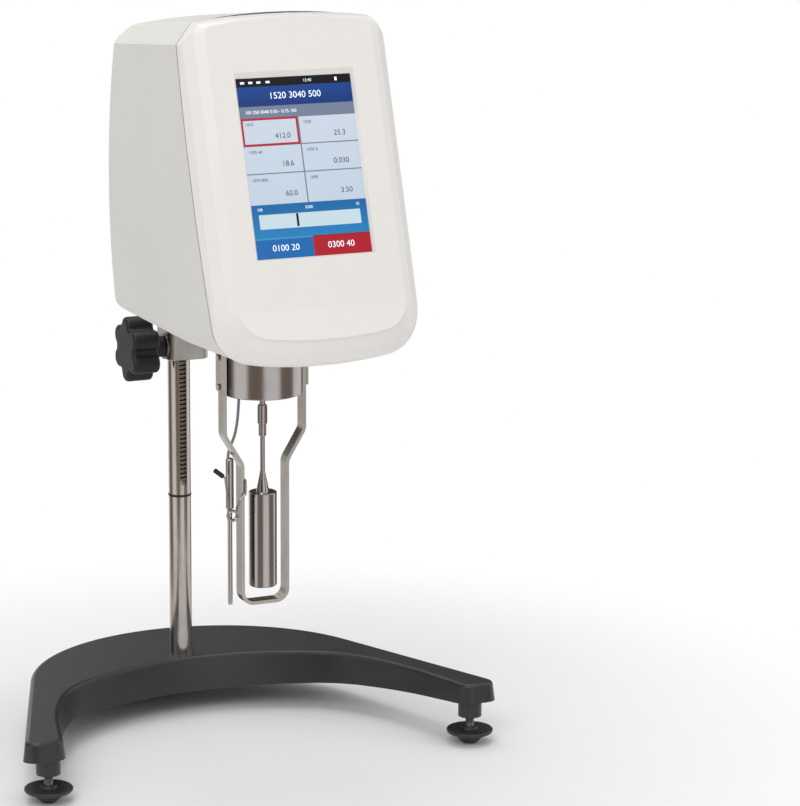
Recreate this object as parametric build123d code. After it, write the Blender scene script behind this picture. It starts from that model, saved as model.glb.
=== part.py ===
"""Rotational viscometer on a lab stand.

Frame: millimetres, +X to the right of someone facing the display, +Y to the rear, +Z up.
The origin is on the bench, under the middle of the outline.
"""

import os
from math import acos, cos, pi, radians, sin, tan

from build123d import *

# Stand: where the main axes are
ROD_Y = 100.35  # upright rod's axis
THROAT = 156.0  # rod axis to spindle axis
SPINDLE_Y = ROD_Y - THROAT

# Base casting, a crescent that opens to the front
FOOT_SPREAD = 310.0  # between the two levelling screws
FOOT_REACH = 158.6  # rod axis to the levelling screws
REAR_EDGE = 64.0  # rod axis to the outer edge behind it
REAR_RADIUS = 128.0
REAR_SWEEP = 70.0
INNER_EDGE = 20.0  # rod axis to the inner edge in front of it
INNER_RADIUS = 170.0
INNER_SWEEP = 30.0
SHOULDER_RADIUS = 75.0
SHOULDER_SWEEP = 30.0
ARM_RADIUS = 250.0
ARM_SWEEP = 15.0
TIP_OVERHANG = 9.5  # the arm's end past the levelling screw
TIP_CORNER = 8.0
BASE_TOP = 41.0  # top surface at the rod
TOP_RISE = 1.2  # degrees, rising to the front
BASE_UNDER = 14.7  # underside at the rod
UNDER_RISE = 5.5  # degrees, rising to the front
BASE_DRAFT = 7.0
BASE_EDGE_ROUND = 3.0
TIP_BOSS_RADIUS = 8.2
TIP_BOSS_BOTTOM = 19.5
REAR_FOOT_REACH = 42.0  # rod axis to the rear foot
REAR_BOSS_RADIUS = 13.0
ROD_SOCKET_DEPTH = 19.0
SOCKET_FLOOR_WALL = 5.0  # iron between the rod's end and the washer under the base

# Feet
STUD_RADIUS = 3.0
STUD_BOTTOM = 3.0
STUD_TOP = 31.0
STUD_HOLE_TOP = 38.5
STUD_CLEARANCE = 0.06
PAD_RADIUS = 16.2
PAD_RIM_LOW = 7.6
PAD_RIM_HIGH = 10.0
PAD_CONE_RADIUS = 11.5
PAD_SOLE_RADIUS = 4.9
PAD_COLLAR_RADIUS = 5.2
PAD_COLLAR_TOP = 12.0
REAR_FOOT_HEIGHT = 8.0
REAR_FOOT_RADIUS = 11.5
REAR_FOOT_DRAFT = 1.5

# Upright rod, rack and what fastens them
ROD_RADIUS = 7.94
ROD_TOP = 392.0
ROD_END_CHAMFER = 1.2
RACK_WIDTH = 5.0
RACK_BACK = 3.6  # rod axis to the rack's back
RACK_BOTTOM = 168.0
RACK_TOP = 386.0
RACK_ADDENDUM = 0.7
STOP_RING_Z = 157.8
STOP_RING_WIRE = 0.9
STOP_RING_STAND = 0.4  # how far the ring stands out of the rod
FIXING_SCREW_RADIUS = 3.9
FIXING_HEAD_RADIUS = 6.5
FIXING_HEAD_HEIGHT = 4.5
FIXING_SCREW_REACH = 14.0  # length inside the rod
WASHER_RADIUS = 9.0
WASHER_THICKNESS = 1.6

# Gears
MODULE = 1.0
PRESSURE_ANGLE = 20.0
DEDENDUM = 1.25
BACKLASH = 0.18
PINION_TEETH = 12
PINION_ADDENDUM = 1.0
WHEEL_TEETH = 36
WHEEL_ADDENDUM = 0.75

# Clamp on the rod, with its rack pinion and knob
CLAMP_BOTTOM = 259.5
CLAMP_TOP = 344.0
CLAMP_HALF_WIDTH = 15.0
CLAMP_FRONT = 22.0  # rod axis to the clamp's front face
CLAMP_EDGE_ROUND = 2.5
ROD_CLEARANCE = 0.05
PINION_Z = 269.0
PINION_GAP = 0.35  # pinion shaft to the rod
PINION_SHAFT_RADIUS = 4.0
PINION_FACE = 4.4
PINION_ROOM = 0.5  # clearance round the teeth
SHAFT_CLEARANCE = 0.04
KNOB_BACK = 25.5  # rod axis to the knob's back face
KNOB_LENGTH = 19.5
KNOB_CORE_RADIUS = 17.0
KNOB_LOBES = 6
KNOB_LOBE_RADIUS = 7.0
KNOB_LOBE_REACH = 16.0
KNOB_VALLEY_ROUND = 3.0
KNOB_EDGE_ROUND = 2.5
KNOB_HUB_RADIUS = 7.4
KNOB_BORE_DEPTH = 12.0
ARM_AXIS_Z = 327.0
ARM_RADIUS_OUTER = 13.0
ARM_END = 46.0  # rod axis to the end of the arm socket
ARM_SOCKET_BACK = 11.5
MOUNT_ROD_RADIUS = 6.35
MOUNT_ROD_CLEARANCE = 0.05
LOCK_Y_OFFSET = 34.0  # rod axis to the locking screw
LOCK_STUD_RADIUS = 3.0
LOCK_KNOB_RADIUS = 9.0
LOCK_KNOB_LENGTH = 12.0
LOCK_KNOB_STAND = 4.0
TENSION_Z = 300.0
TENSION_RADIUS = 3.0
TENSION_PAD_LENGTH = 3.0
TENSION_HEAD_RADIUS = 5.0
TENSION_HEAD_LENGTH = 5.0
TENSION_HEAD_STAND = 1.5
SCREW_TIP_GAP = 0.3  # between a clamping screw and what it presses on

# Head: outline and shells
HEAD_HALF_WIDTH = 72.5
HEAD_TOP_HALF_WIDTH = 71.0
HEAD_FOOT_HALF_WIDTH = 70.0
HEAD_WIDEST_Z = 410.0
HEAD_BOTTOM = 310.0
HEAD_REAR = 50.3  # rod axis to the middle of the bowed back
HEAD_REAR_RADIUS = 357.0
HEAD_REAR_MID_Z = 395.0
REAR_CORNER = 15.0
REAR_FOOT_CORNER = 22.0
REAR_BEVEL_Z = 484.0
FACE_TILT = 18.4  # degrees from upright, top leaning back
FACE_Y = 211.5  # rod axis to the face at the height FACE_Z
FACE_SPAN = 200.0  # reach of the plates that cut the head parallel to its face
FACE_Z = 482.6
KICK_Z = 341.0  # below this the face turns out towards the chin
KICK = 2.5
CHIN_Z = 322.0
CHIN_BULGE = 3.0
LIP_Z = 302.5
LIP_BACK = 14.0
LIP_RUN = 26.0
SEAM_DEPTH = 17.0
SHELL_WALL = 3.0
LIP_WALL = 1.3
LIP_DEPTH = 3.0
LIP_CLEARANCE = 0.15
SHELL_GAP = 0.3
# Head sections from front to rear: distance in front of the rod, top of the side, height of the
# facet above it, underside at the middle, underside at the sides, lower corner radius
FACET_RUN = 12.0
CROWN_RISE = 4.5
FACET_CORNER = 5.0
HEAD_SECTIONS = [
    (285.0, 512.3, 16.0, 302.5, 311.0, 24.0),
    (247.0, 508.5, 15.0, 302.5, 311.0, 24.0),
    (190.0, 502.7, 14.0, 309.9, 310.0, 6.5),
    (40.0, 487.4, 11.5, 309.9, 310.0, 6.5),
]
# Rounded border of the face: depth behind the face and growth of its outline
FACE_HALF_WIDTH = 57.5
FACE_LOW = -171.3
FACE_HIGH = 38.0
FACE_CORNER = 20.0
FACE_SAG = 6.0
FACE_BORDER = [(-6.0, -3.0), (0.0, 0.0), (4.0, 6.2), (10.0, 12.2), (17.0, 15.6), (24.0, 16.5)]

# Display
SCREEN_WIDTH = 79.4
SCREEN_HEIGHT = 116.3
SCREEN_RECESS = 2.2
BEVEL_SIDE = 1.4
BEVEL_TOP = 3.6
GLASS_MARGIN = 4.0
GLASS_THICKNESS = 2.0
GASKET_THICKNESS = 0.8
GASKET_WIDTH = 3.0
PANEL_THICKNESS = 4.0
PANEL_MARGIN = 2.5
BOARD_THICKNESS = 1.6
BOARD_GAP = 5.0
BOARD_WIDTH = 100.0
BOARD_HEIGHT = 124.0
BOARD_CHIPS = [(-20.0, 20.0, 22.0, 22.0), (22.0, 28.0, 14.0, 10.0), (12.0, -30.0, 34.0, 12.0)]
CHIP_HEIGHT = 2.0
POST_X = 47.0
POST_V = 50.0
STANDOFF_RADIUS = 2.5

# Chassis, bearing plate and drive inside the head
CHASSIS_THICKNESS = 7.0
REAR_BLOCK_HALF_WIDTH = 16.0
REAR_BLOCK_DEPTH = 30.0
REAR_BLOCK_HEIGHT = 36.0
PILLAR_RADIUS = 4.0
PILLAR_HEIGHT = 70.0
PILLAR_X = 30.0
PILLAR_FRONT = 24.0
PILLAR_REAR = 48.0
PLATE_THICKNESS = 4.0
PLATE_MARGIN = 8.0
BEARING_RADIUS = 9.0
BEARING_HEIGHT = 4.0
BEARING_BOSS_RADIUS = 12.0
BEARING_BOSS_DEPTH = 10.0
DRIVE_SHAFT_RADIUS = 6.0
DRIVE_BORE_RADIUS = 3.5
DRIVE_SHAFT_TOP = 390.0
DRIVE_GUIDE_BOTTOM = 378.0
WHEEL_FACE = 5.0
WHEEL_GAP = 2.0
MOTOR_SIDE = 42.0
MOTOR_HEIGHT = 38.0
MOTOR_EDGE = 3.0
MOTOR_SHAFT_RADIUS = 2.5
MOTOR_PILOT_RADIUS = 11.0
SPRING_HOUSING_BOTTOM = 340.0
SPRING_HOUSING_RADIUS = 21.0
SPRING_HOUSING_HEIGHT = 9.0
SPRING_HOUSING_WALL = 2.0
SPRING_STRIP = 0.6
SPRING_PITCH = 3.2
SPRING_INNER = 4.5
SPRING_LIFT = 1.5
COLLAR_RADIUS = 3.9
SPRING_HEIGHT = 3.0

# Measuring head: pivot cup, shaft, coupling and spindle
CUP_RADIUS = 27.0
CUP_BOTTOM = 264.3
CUP_WALL = 4.5
CUP_FLOOR = 4.0
CUP_EDGE_ROUND = 0.8
CUP_HUB_RADIUS = 5.0
CUP_HUB_DROP = 2.6
CUP_SCREW_RADIUS = 1.25
CUP_SCREW_HEAD = 2.4
CUP_SCREW_HEAD_HEIGHT = 2.0
CUP_SCREW_REACH = 10.0
PIVOT_RADIUS = 2.0
PIVOT_GAP = 0.5
PIVOT_BOTTOM = 248.0
PIVOT_TOP = 387.0
JEWEL_Z = 285.0
JEWEL_HEIGHT = 4.0
JEWEL_BRIDGE = 3.0
JEWEL_RADIUS = 5.0
COUPLING_RADIUS = 3.1
COUPLING_TOP = 256.0
COUPLING_BOTTOM = 234.5
COUPLING_WAIST_RADIUS = 2.6
COUPLING_WAIST_HEIGHT = 8.0
SPINDLE_SHAFT_RADIUS = 1.6
CONE_TOP = 210.6
CONE_RADIUS = 4.5
SPINDLE_RADIUS = 9.42
SPINDLE_LENGTH = 65.1
SPINDLE_TOP = 196.2
SPINDLE_EDGE_ROUND = 0.8

# Guard leg
STRIP_WIDTH = 9.5
STRIP_THICKNESS = 2.4
GUARD_UPPER = 29.7  # spindle axis to the strip's outer face, above the bends
GUARD_LOWER = 17.3
GUARD_BEND_HIGH = 237.5
GUARD_BEND_LOW = 217.0
GUARD_BOTTOM = 119.1
GUARD_BEND_RADIUS = 8.0
GUARD_PLATE_BOTTOM = 267.5
GUARD_PLATE_THICKNESS = 1.5
GUARD_PLATE_WIDTH = 10.5
GUARD_SCREW_Z = 270.5
GUARD_SCREW_SPACING = 20.0
GUARD_SCREW_HEAD = 2.2
GUARD_SCREW_HEAD_HEIGHT = 1.4
GUARD_SCREW_RADIUS = 1.2

# Temperature probe, its clip and its lead
PROBE_X = -23.7
PROBE_RADIUS = 1.59
PROBE_TIP = 119.8
SLEEVE_RADIUS = 2.65
SLEEVE_BOTTOM = 187.0
SLEEVE_TOP = 221.5
CLIP_WIRE = 0.8
CLIP_COIL_RADIUS = 3.3
CLIP_X = -23.2
CLIP_Z = 182.5
CLIP_GAP = 0.3
CLIP_PITCH = 1.9
BLADE_THICKNESS = 0.8
BLADE_LOW = 195.0
BLADE_HIGH = 207.0
GRIP_RADIUS = 1.6
GRIP_START = (-28.6, 209.0)
GRIP_END = (-35.2, 214.4)
LEAD_RADIUS = 1.0
GLAND_RADIUS = 3.5
GLAND_DROP = 4.0
GLAND_NECK_RADIUS = 2.6
# Lead's corner points: x, distance behind the spindle axis, z
LEAD_ROUTE = [
    (-23.7, 2.9, 219.0),
    (-20.0, 13.0, 222.5),
    (-9.0, 25.0, 231.0),
    (-4.6, 30.0, 252.0),
    (-2.9, 34.7, 280.0),
    (-1.1, 38.2, 308.0),
]

# Rear panel of the head
PANEL_PLATE_WIDTH = 92.0
PANEL_PLATE_HEIGHT = 34.0
PANEL_PLATE_THICKNESS = 2.0
PANEL_PLATE_Z = 372.0
INLET_RADIUS = 5.5
INLET_DEPTH = 14.0
INLET_BORE_RADIUS = 3.2
INLET_X = -32.0
SWITCH_X = 30.0
SWITCH_WIDTH = 13.0
SWITCH_HEIGHT = 19.0
SWITCH_DEPTH = 15.0
ROCKER_PIN_RADIUS = 1.0
ROCKER_TILT = 6.0
ROCKER_CLEARANCE = 0.35
USB_WIDTH = 13.2
USB_HEIGHT = 5.8
USB_DEPTH = 14.0
USB_X = [-8.0, 11.0]

# Screws under the head that hold the shell
SHELL_SCREW_RADIUS = 1.5
SHELL_SCREW_HEAD = 2.8
SHELL_SCREW_HEAD_HEIGHT = 1.6
SHELL_SCREWS = [(-59.0, 95.0), (59.0, 95.0), (-59.0, 215.0), (59.0, 215.0)]

# Chassis outline in plan
CHASSIS_HALF_WIDTH = 55.0
CHASSIS_FRONT = 222.0  # rod axis to the chassis's front edge
CHASSIS_REAR = 90.0
CHASSIS_CORNER = 8.0
FLANGE_WIDTH = 7.0

# Cooling slots in the back
VENT_COUNT = 5
VENT_Z = 420.0
VENT_PITCH = 8.0
VENT_HEIGHT = 3.0
VENT_LENGTH = 70.0

FACE_SLOPE = tan(radians(FACE_TILT))
PINION_PITCH_RADIUS = MODULE * PINION_TEETH / 2
WHEEL_PITCH_RADIUS = MODULE * WHEEL_TEETH / 2
PINION_Y = ROD_Y - ROD_RADIUS - PINION_GAP - PINION_SHAFT_RADIUS
RACK_PITCH_Y = PINION_Y + PINION_PITCH_RADIUS
MOTOR_Y = SPINDLE_Y + PINION_PITCH_RADIUS + WHEEL_PITCH_RADIUS
CHASSIS_TOP = HEAD_BOTTOM + CHASSIS_THICKNESS
PLATE_Z = CHASSIS_TOP + PILLAR_HEIGHT
SPINDLE_BOTTOM = SPINDLE_TOP - SPINDLE_LENGTH
SPINDLE_SHAFT_TOP = PIVOT_BOTTOM - 1.0
WHEEL_LOW = PLATE_Z - BEARING_BOSS_DEPTH - WHEEL_GAP - WHEEL_FACE
PILLAR_PLACES = [
    (side * PILLAR_X, SPINDLE_Y + reach) for reach in (-PILLAR_FRONT, PILLAR_REAR) for side in (-1, 1)
]
SCREEN_MIDDLE = -SCREEN_HEIGHT / 2
PANEL_DEPTH = SHELL_WALL + GLASS_THICKNESS + GASKET_THICKNESS
BOARD_DEPTH = PANEL_DEPTH + PANEL_THICKNESS + BOARD_GAP
GUARD_SCREW_HEIGHTS = [GUARD_SCREW_Z, GUARD_SCREW_Z + GUARD_SCREW_SPACING]
GLAND_X = LEAD_ROUTE[-1][0]
GLAND_Y = SPINDLE_Y + LEAD_ROUTE[-1][1]
CLIP_Y = SPINDLE_Y - PROBE_RADIUS - CLIP_GAP - CLIP_WIRE

ON_END = (Align.CENTER, Align.CENTER, Align.MIN)  # a cylinder that stands on its plane


def cylinder(radius, low, high, x=0.0, y=0.0):
    """Upright cylinder between two heights."""
    return Pos(x, y, low) * Cylinder(radius, high - low, align=ON_END)


def cylinder_x(radius, start, end, y, z):
    """Cylinder along X between two stations."""
    spot = Pos(start, y, z) * Rot(0, 90, 0)
    return spot * Cylinder(radius, end - start, align=ON_END)


def cylinder_y(radius, start, end, x, z):
    """Cylinder along Y between two stations."""
    spot = Pos(x, start, z) * Rot(-90, 0, 0)
    return spot * Cylinder(radius, end - start, align=ON_END)


def block(x_range, y_range, z_range):
    """Box between pairs of limits."""
    size = [high - low for low, high in (x_range, y_range, z_range)]
    corner = Pos(x_range[0], y_range[0], z_range[0])
    return corner * Box(*size, align=(Align.MIN, Align.MIN, Align.MIN))


def turned(profile, x=0.0, y=0.0):
    """Solid of revolution about an upright axis, from (radius, height) points."""
    face = Plane.XZ * make_face(Polyline(*profile, close=True))
    return Pos(x, y, 0) * revolve(face, Axis.Z)


def involute(angle):
    return tan(angle) - angle


def gear_face(teeth, addendum):
    """Outline of a spur gear with a tooth centred on +X."""
    pitch = MODULE * teeth / 2
    base = pitch * cos(radians(PRESSURE_ANGLE))
    tip = pitch + addendum * MODULE
    root = pitch - DEDENDUM * MODULE
    at_pitch = pi / (2 * teeth) - BACKLASH / (2 * pitch) + involute(radians(PRESSURE_ANGLE))
    start = max(base, root)
    flank = [(radius, at_pitch - involute(acos(min(1.0, base / radius)))) for radius in (start, pitch, tip)]
    if root < base:
        flank.insert(0, (root, flank[0][1]))
    points = []
    for tooth in range(teeth):
        middle = 2 * pi * tooth / teeth
        for radius, half in flank:
            points.append((radius * cos(middle - half), radius * sin(middle - half)))
        for radius, half in reversed(flank):
            points.append((radius * cos(middle + half), radius * sin(middle + half)))
    return make_face(Polyline(*points, close=True))


def face_y(z):
    """Y of the head's front face at a height."""
    return ROD_Y - FACE_Y - FACE_SLOPE * (FACE_Z - z)


def face_plane(depth=0.0):
    """Plane on the head's front face: x to the right, y up the face, normal outwards."""
    normal = Vector(0, -cos(radians(FACE_TILT)), sin(radians(FACE_TILT)))
    spot = Vector(0, face_y(FACE_Z), FACE_Z) - normal * depth
    return Plane(origin=spot, x_dir=(1, 0, 0), z_dir=normal)


# Base casting and feet


def crescent_outline():
    """Top outline of the base, centred on the rod."""
    outer = JernArc((0, REAR_EDGE), (1, 0), REAR_RADIUS, -REAR_SWEEP)
    inner = JernArc((0, -INNER_EDGE), (1, 0), INNER_RADIUS, -INNER_SWEEP)
    shoulder = JernArc(inner @ 1, inner % 1, SHOULDER_RADIUS, -SHOULDER_SWEEP)
    arm = JernArc(shoulder @ 1, shoulder % 1, ARM_RADIUS, -ARM_SWEEP)
    tip_y = -FOOT_REACH - TIP_OVERHANG

    def run_to_tip(edge):
        end = edge @ 1
        way = edge % 1
        return (end.X + way.X * (tip_y - end.Y) / way.Y, tip_y)

    tip = FilletPolyline(outer @ 1, run_to_tip(outer), run_to_tip(arm), arm @ 1, radius=TIP_CORNER)
    middle = Line((0, -INNER_EDGE), (0, REAR_EDGE))
    curves = (outer, tip, arm, shoulder, inner, middle)
    half = make_face([edge for curve in curves for edge in curve.edges()])
    return half + mirror(half, Plane.YZ)


def raked_plane(height, rise):
    """Plane through the rod's axis at that height, falling towards the front by rise degrees."""
    lean = radians(rise)
    return Plane(origin=(0, ROD_Y, height), x_dir=(1, 0, 0), z_dir=(0, sin(lean), cos(lean)))


def make_base():
    top = raked_plane(BASE_TOP, TOP_RISE)
    casting = extrude(top * crescent_outline(), amount=-BASE_TOP - REAR_FOOT_HEIGHT, taper=-BASE_DRAFT)
    rim = casting.faces().sort_by(Axis.Z)[-1].edges()
    casting = fillet(rim, BASE_EDGE_ROUND)
    casting = split(casting, raked_plane(BASE_UNDER, UNDER_RISE), keep=Keep.TOP)
    boss_top = BASE_TOP - BASE_EDGE_ROUND
    for side in (-1, 1):
        x = side * FOOT_SPREAD / 2
        casting += cylinder(TIP_BOSS_RADIUS, TIP_BOSS_BOTTOM, boss_top, x, ROD_Y - FOOT_REACH)
    casting += cylinder(REAR_BOSS_RADIUS, REAR_FOOT_HEIGHT, boss_top, 0, ROD_Y + REAR_FOOT_REACH)
    for side in (-1, 1):
        casting -= cylinder(
            STUD_RADIUS + STUD_CLEARANCE, 0, STUD_HOLE_TOP, side * FOOT_SPREAD / 2, ROD_Y - FOOT_REACH
        )
    socket_floor = BASE_TOP - ROD_SOCKET_DEPTH
    casting -= cylinder(ROD_RADIUS, socket_floor, BASE_TOP + REAR_EDGE, 0, ROD_Y)
    casting -= cylinder(FIXING_SCREW_RADIUS, 0, BASE_TOP, 0, ROD_Y)
    seat = fixing_seat()
    casting -= cylinder(WASHER_RADIUS + SHELL_GAP, 0, seat, 0, ROD_Y)
    return casting


def make_levelling_screw(side):
    stud = cylinder(STUD_RADIUS, STUD_BOTTOM, STUD_TOP, side * FOOT_SPREAD / 2, ROD_Y - FOOT_REACH)
    return chamfer(stud.edges().sort_by(Axis.Z)[-1], STUD_RADIUS / 4)


def make_foot_pad(side):
    profile = [
        (STUD_RADIUS, STUD_BOTTOM),
        (0, STUD_BOTTOM),
        (0, 0),
        (PAD_SOLE_RADIUS, 0),
        (PAD_CONE_RADIUS, PAD_RIM_LOW - 1.2),
        (PAD_RADIUS - 0.6, PAD_RIM_LOW),
        (PAD_RADIUS, PAD_RIM_LOW + 0.8),
        (PAD_RADIUS, PAD_RIM_HIGH - 0.5),
        (PAD_RADIUS - 0.5, PAD_RIM_HIGH),
        (PAD_COLLAR_RADIUS + 0.8, PAD_RIM_HIGH),
        (PAD_COLLAR_RADIUS, PAD_COLLAR_TOP),
        (STUD_RADIUS, PAD_COLLAR_TOP),
    ]
    return turned(profile, side * FOOT_SPREAD / 2, ROD_Y - FOOT_REACH)


def make_rear_foot():
    foot = Pos(0, ROD_Y + REAR_FOOT_REACH, REAR_FOOT_HEIGHT / 2) * Cone(
        REAR_FOOT_RADIUS - REAR_FOOT_DRAFT, REAR_FOOT_RADIUS, REAR_FOOT_HEIGHT
    )
    return foot


# Rod


def make_rod():
    rod = cylinder(ROD_RADIUS, BASE_TOP - ROD_SOCKET_DEPTH, ROD_TOP, 0, ROD_Y)
    rod = chamfer(rod.edges().sort_by(Axis.Z)[-1], ROD_END_CHAMFER)
    slot_half = RACK_WIDTH / 2
    slot = block(
        (-slot_half, slot_half), (ROD_Y - ROD_RADIUS - 1, ROD_Y - RACK_BACK), (RACK_BOTTOM, RACK_TOP)
    )
    runout = Pos(0, ROD_Y - RACK_BACK, RACK_BOTTOM) * Rot(90, 0, 0) * Cylinder(
        slot_half, ROD_RADIUS, align=ON_END
    )
    rod -= slot + runout
    groove_radius = ROD_RADIUS + STOP_RING_STAND - 2 * STOP_RING_WIRE
    ring = cylinder(ROD_RADIUS + 1, STOP_RING_Z - STOP_RING_WIRE, STOP_RING_Z + STOP_RING_WIRE, 0, ROD_Y)
    ring -= cylinder(groove_radius, STOP_RING_Z - STOP_RING_WIRE, STOP_RING_Z + STOP_RING_WIRE, 0, ROD_Y)
    rod -= ring
    rod -= cylinder(FIXING_SCREW_RADIUS, 0, BASE_TOP - ROD_SOCKET_DEPTH + FIXING_SCREW_REACH, 0, ROD_Y)
    return rod


def make_rack():
    """Toothed bar in the rod's slot. A gap between teeth faces the pinion at rest."""
    pitch = pi * MODULE
    slope = tan(radians(PRESSURE_ANGLE))
    tooth_half = pitch / 4 - BACKLASH / 2
    tip_half = tooth_half - slope * RACK_ADDENDUM
    root_half = tooth_half + slope * DEDENDUM
    tip_y = RACK_PITCH_Y - RACK_ADDENDUM
    root_y = RACK_PITCH_Y + DEDENDUM
    first = int((RACK_BOTTOM - PINION_Z) / pitch) - 0.5 + 1
    last = (RACK_TOP - PINION_Z) / pitch - 0.5
    points = [(ROD_Y - RACK_BACK, RACK_BOTTOM), (root_y, RACK_BOTTOM)]
    place = first
    while place < last:
        middle = PINION_Z + place * pitch
        points += [
            (root_y, middle - root_half),
            (tip_y, middle - tip_half),
            (tip_y, middle + tip_half),
            (root_y, middle + root_half),
        ]
        place += 1
    points += [(root_y, RACK_TOP), (ROD_Y - RACK_BACK, RACK_TOP)]
    bar = Plane.YZ * make_face(Polyline(*points, close=True))
    return extrude(bar, amount=RACK_WIDTH / 2, both=True)


def make_stop_ring():
    wire_radius = STOP_RING_WIRE
    centre = ROD_RADIUS + STOP_RING_STAND - wire_radius
    return Pos(0, ROD_Y, STOP_RING_Z) * Torus(centre, wire_radius)


def fixing_seat():
    return BASE_TOP - ROD_SOCKET_DEPTH - SOCKET_FLOOR_WALL


def make_rod_washer():
    low = fixing_seat() - WASHER_THICKNESS
    disc = cylinder(WASHER_RADIUS, low, fixing_seat(), 0, ROD_Y)
    return disc - cylinder(FIXING_SCREW_RADIUS, low, fixing_seat(), 0, ROD_Y)


def make_rod_fixing_screw():
    head_top = fixing_seat() - WASHER_THICKNESS
    screw = cylinder(FIXING_HEAD_RADIUS, head_top - FIXING_HEAD_HEIGHT, head_top, 0, ROD_Y)
    screw = chamfer(screw.edges().sort_by(Axis.Z)[0], 0.6)
    shank_top = BASE_TOP - ROD_SOCKET_DEPTH + FIXING_SCREW_REACH - 1
    screw += cylinder(FIXING_SCREW_RADIUS, head_top, shank_top, 0, ROD_Y)
    socket = Pos(0, ROD_Y, head_top - FIXING_HEAD_HEIGHT) * extrude(RegularPolygon(2.5, 6), amount=3.0)
    return screw - socket


# Clamp, pinion and knobs


def make_clamp():
    body = block(
        (-CLAMP_HALF_WIDTH, CLAMP_HALF_WIDTH), (ROD_Y - CLAMP_FRONT, ROD_Y), (CLAMP_BOTTOM, CLAMP_TOP)
    )
    body += cylinder(CLAMP_HALF_WIDTH, CLAMP_BOTTOM, CLAMP_TOP, 0, ROD_Y)
    front_edges = body.edges().filter_by(Axis.Z).group_by(Axis.Y)[0]
    body = fillet(front_edges, CLAMP_EDGE_ROUND * 2)
    body = fillet(body.faces().filter_by(Axis.Z).edges(), CLAMP_EDGE_ROUND / 2)
    arm = cylinder_y(ARM_RADIUS_OUTER, ROD_Y - ARM_END, ROD_Y - CLAMP_FRONT + 4, 0, ARM_AXIS_Z)
    arm = fillet(arm.edges().sort_by(Axis.Y)[0], CLAMP_EDGE_ROUND / 2)
    body += arm
    lock_boss = cylinder_x(LOCK_STUD_RADIUS + 4, 0, CLAMP_HALF_WIDTH, ROD_Y - LOCK_Y_OFFSET, ARM_AXIS_Z)
    body += lock_boss
    body -= cylinder(ROD_RADIUS + ROD_CLEARANCE, CLAMP_BOTTOM - 1, CLAMP_TOP + 1, 0, ROD_Y)
    body -= cylinder_y(
        MOUNT_ROD_RADIUS + MOUNT_ROD_CLEARANCE, ROD_Y - ARM_END - 1, ROD_Y - ARM_SOCKET_BACK, 0, ARM_AXIS_Z
    )
    tooth_room = PINION_PITCH_RADIUS + MODULE * PINION_ADDENDUM + PINION_ROOM
    body -= cylinder_x(tooth_room, -CLAMP_HALF_WIDTH - 1, PINION_FACE / 2 + PINION_ROOM, PINION_Y, PINION_Z)
    shaft_hole = PINION_SHAFT_RADIUS + SHAFT_CLEARANCE
    body -= cylinder_x(shaft_hole, 0, CLAMP_HALF_WIDTH + 1, PINION_Y, PINION_Z)
    lock_hole = LOCK_STUD_RADIUS + STUD_CLEARANCE
    body -= cylinder_x(lock_hole, 0, CLAMP_HALF_WIDTH + 1, ROD_Y - LOCK_Y_OFFSET, ARM_AXIS_Z)
    body -= cylinder_x(TENSION_RADIUS + STUD_CLEARANCE, 0, CLAMP_HALF_WIDTH + 1, ROD_Y, TENSION_Z)
    return body


def make_pinion_bush():
    """Bush that closes the clamp's side and carries the pinion shaft. It is cut back round the rod."""
    outer = PINION_PITCH_RADIUS + MODULE * PINION_ADDENDUM + PINION_ROOM
    inner_end = -PINION_FACE / 2 - PINION_ROOM
    bush = cylinder_x(outer, -CLAMP_HALF_WIDTH, inner_end, PINION_Y, PINION_Z)
    bush += cylinder_x(outer + 1.5, -CLAMP_HALF_WIDTH - 1.2, -CLAMP_HALF_WIDTH, PINION_Y, PINION_Z)
    bush -= cylinder_x(PINION_SHAFT_RADIUS + SHAFT_CLEARANCE, -CLAMP_HALF_WIDTH - 2, 0, PINION_Y, PINION_Z)
    return bush - cylinder(ROD_RADIUS + ROD_CLEARANCE, CLAMP_BOTTOM, CLAMP_TOP, 0, ROD_Y)


def make_pinion_shaft():
    toothed = Plane.YZ * Pos(PINION_Y, PINION_Z) * gear_face(PINION_TEETH, PINION_ADDENDUM)
    shaft = extrude(toothed, amount=PINION_FACE / 2, both=True)
    left_end = -KNOB_BACK - KNOB_BORE_DEPTH
    shaft += cylinder_x(PINION_SHAFT_RADIUS, left_end, -PINION_FACE / 2, PINION_Y, PINION_Z)
    return shaft + cylinder_x(
        PINION_SHAFT_RADIUS, PINION_FACE / 2, CLAMP_HALF_WIDTH + 1.5, PINION_Y, PINION_Z
    )


def make_lift_knob():
    outline = Circle(KNOB_CORE_RADIUS)
    for lobe in range(KNOB_LOBES):
        outline += Rot(0, 0, 360 / KNOB_LOBES * lobe) * Pos(0, KNOB_LOBE_REACH) * Circle(KNOB_LOBE_RADIUS)
    outline = fillet(outline.vertices(), KNOB_VALLEY_ROUND)
    grip = extrude(Plane.YZ * Pos(PINION_Y, PINION_Z) * outline, amount=-KNOB_LENGTH)
    grip = fillet(grip.faces().filter_by(Axis.X).edges(), KNOB_EDGE_ROUND)
    knob = Pos(-KNOB_BACK, 0, 0) * grip
    knob += cylinder_x(KNOB_HUB_RADIUS, -KNOB_BACK - 1, -CLAMP_HALF_WIDTH - 2, PINION_Y, PINION_Z)
    return knob - cylinder_x(PINION_SHAFT_RADIUS, -KNOB_BACK - KNOB_BORE_DEPTH, 0, PINION_Y, PINION_Z)


def make_tension_insert():
    pad = cylinder_x(TENSION_RADIUS, 0, ROD_RADIUS + ROD_CLEARANCE + TENSION_PAD_LENGTH, ROD_Y, TENSION_Z)
    return pad - cylinder(ROD_RADIUS + ROD_CLEARANCE, CLAMP_BOTTOM, CLAMP_TOP, 0, ROD_Y)


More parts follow.
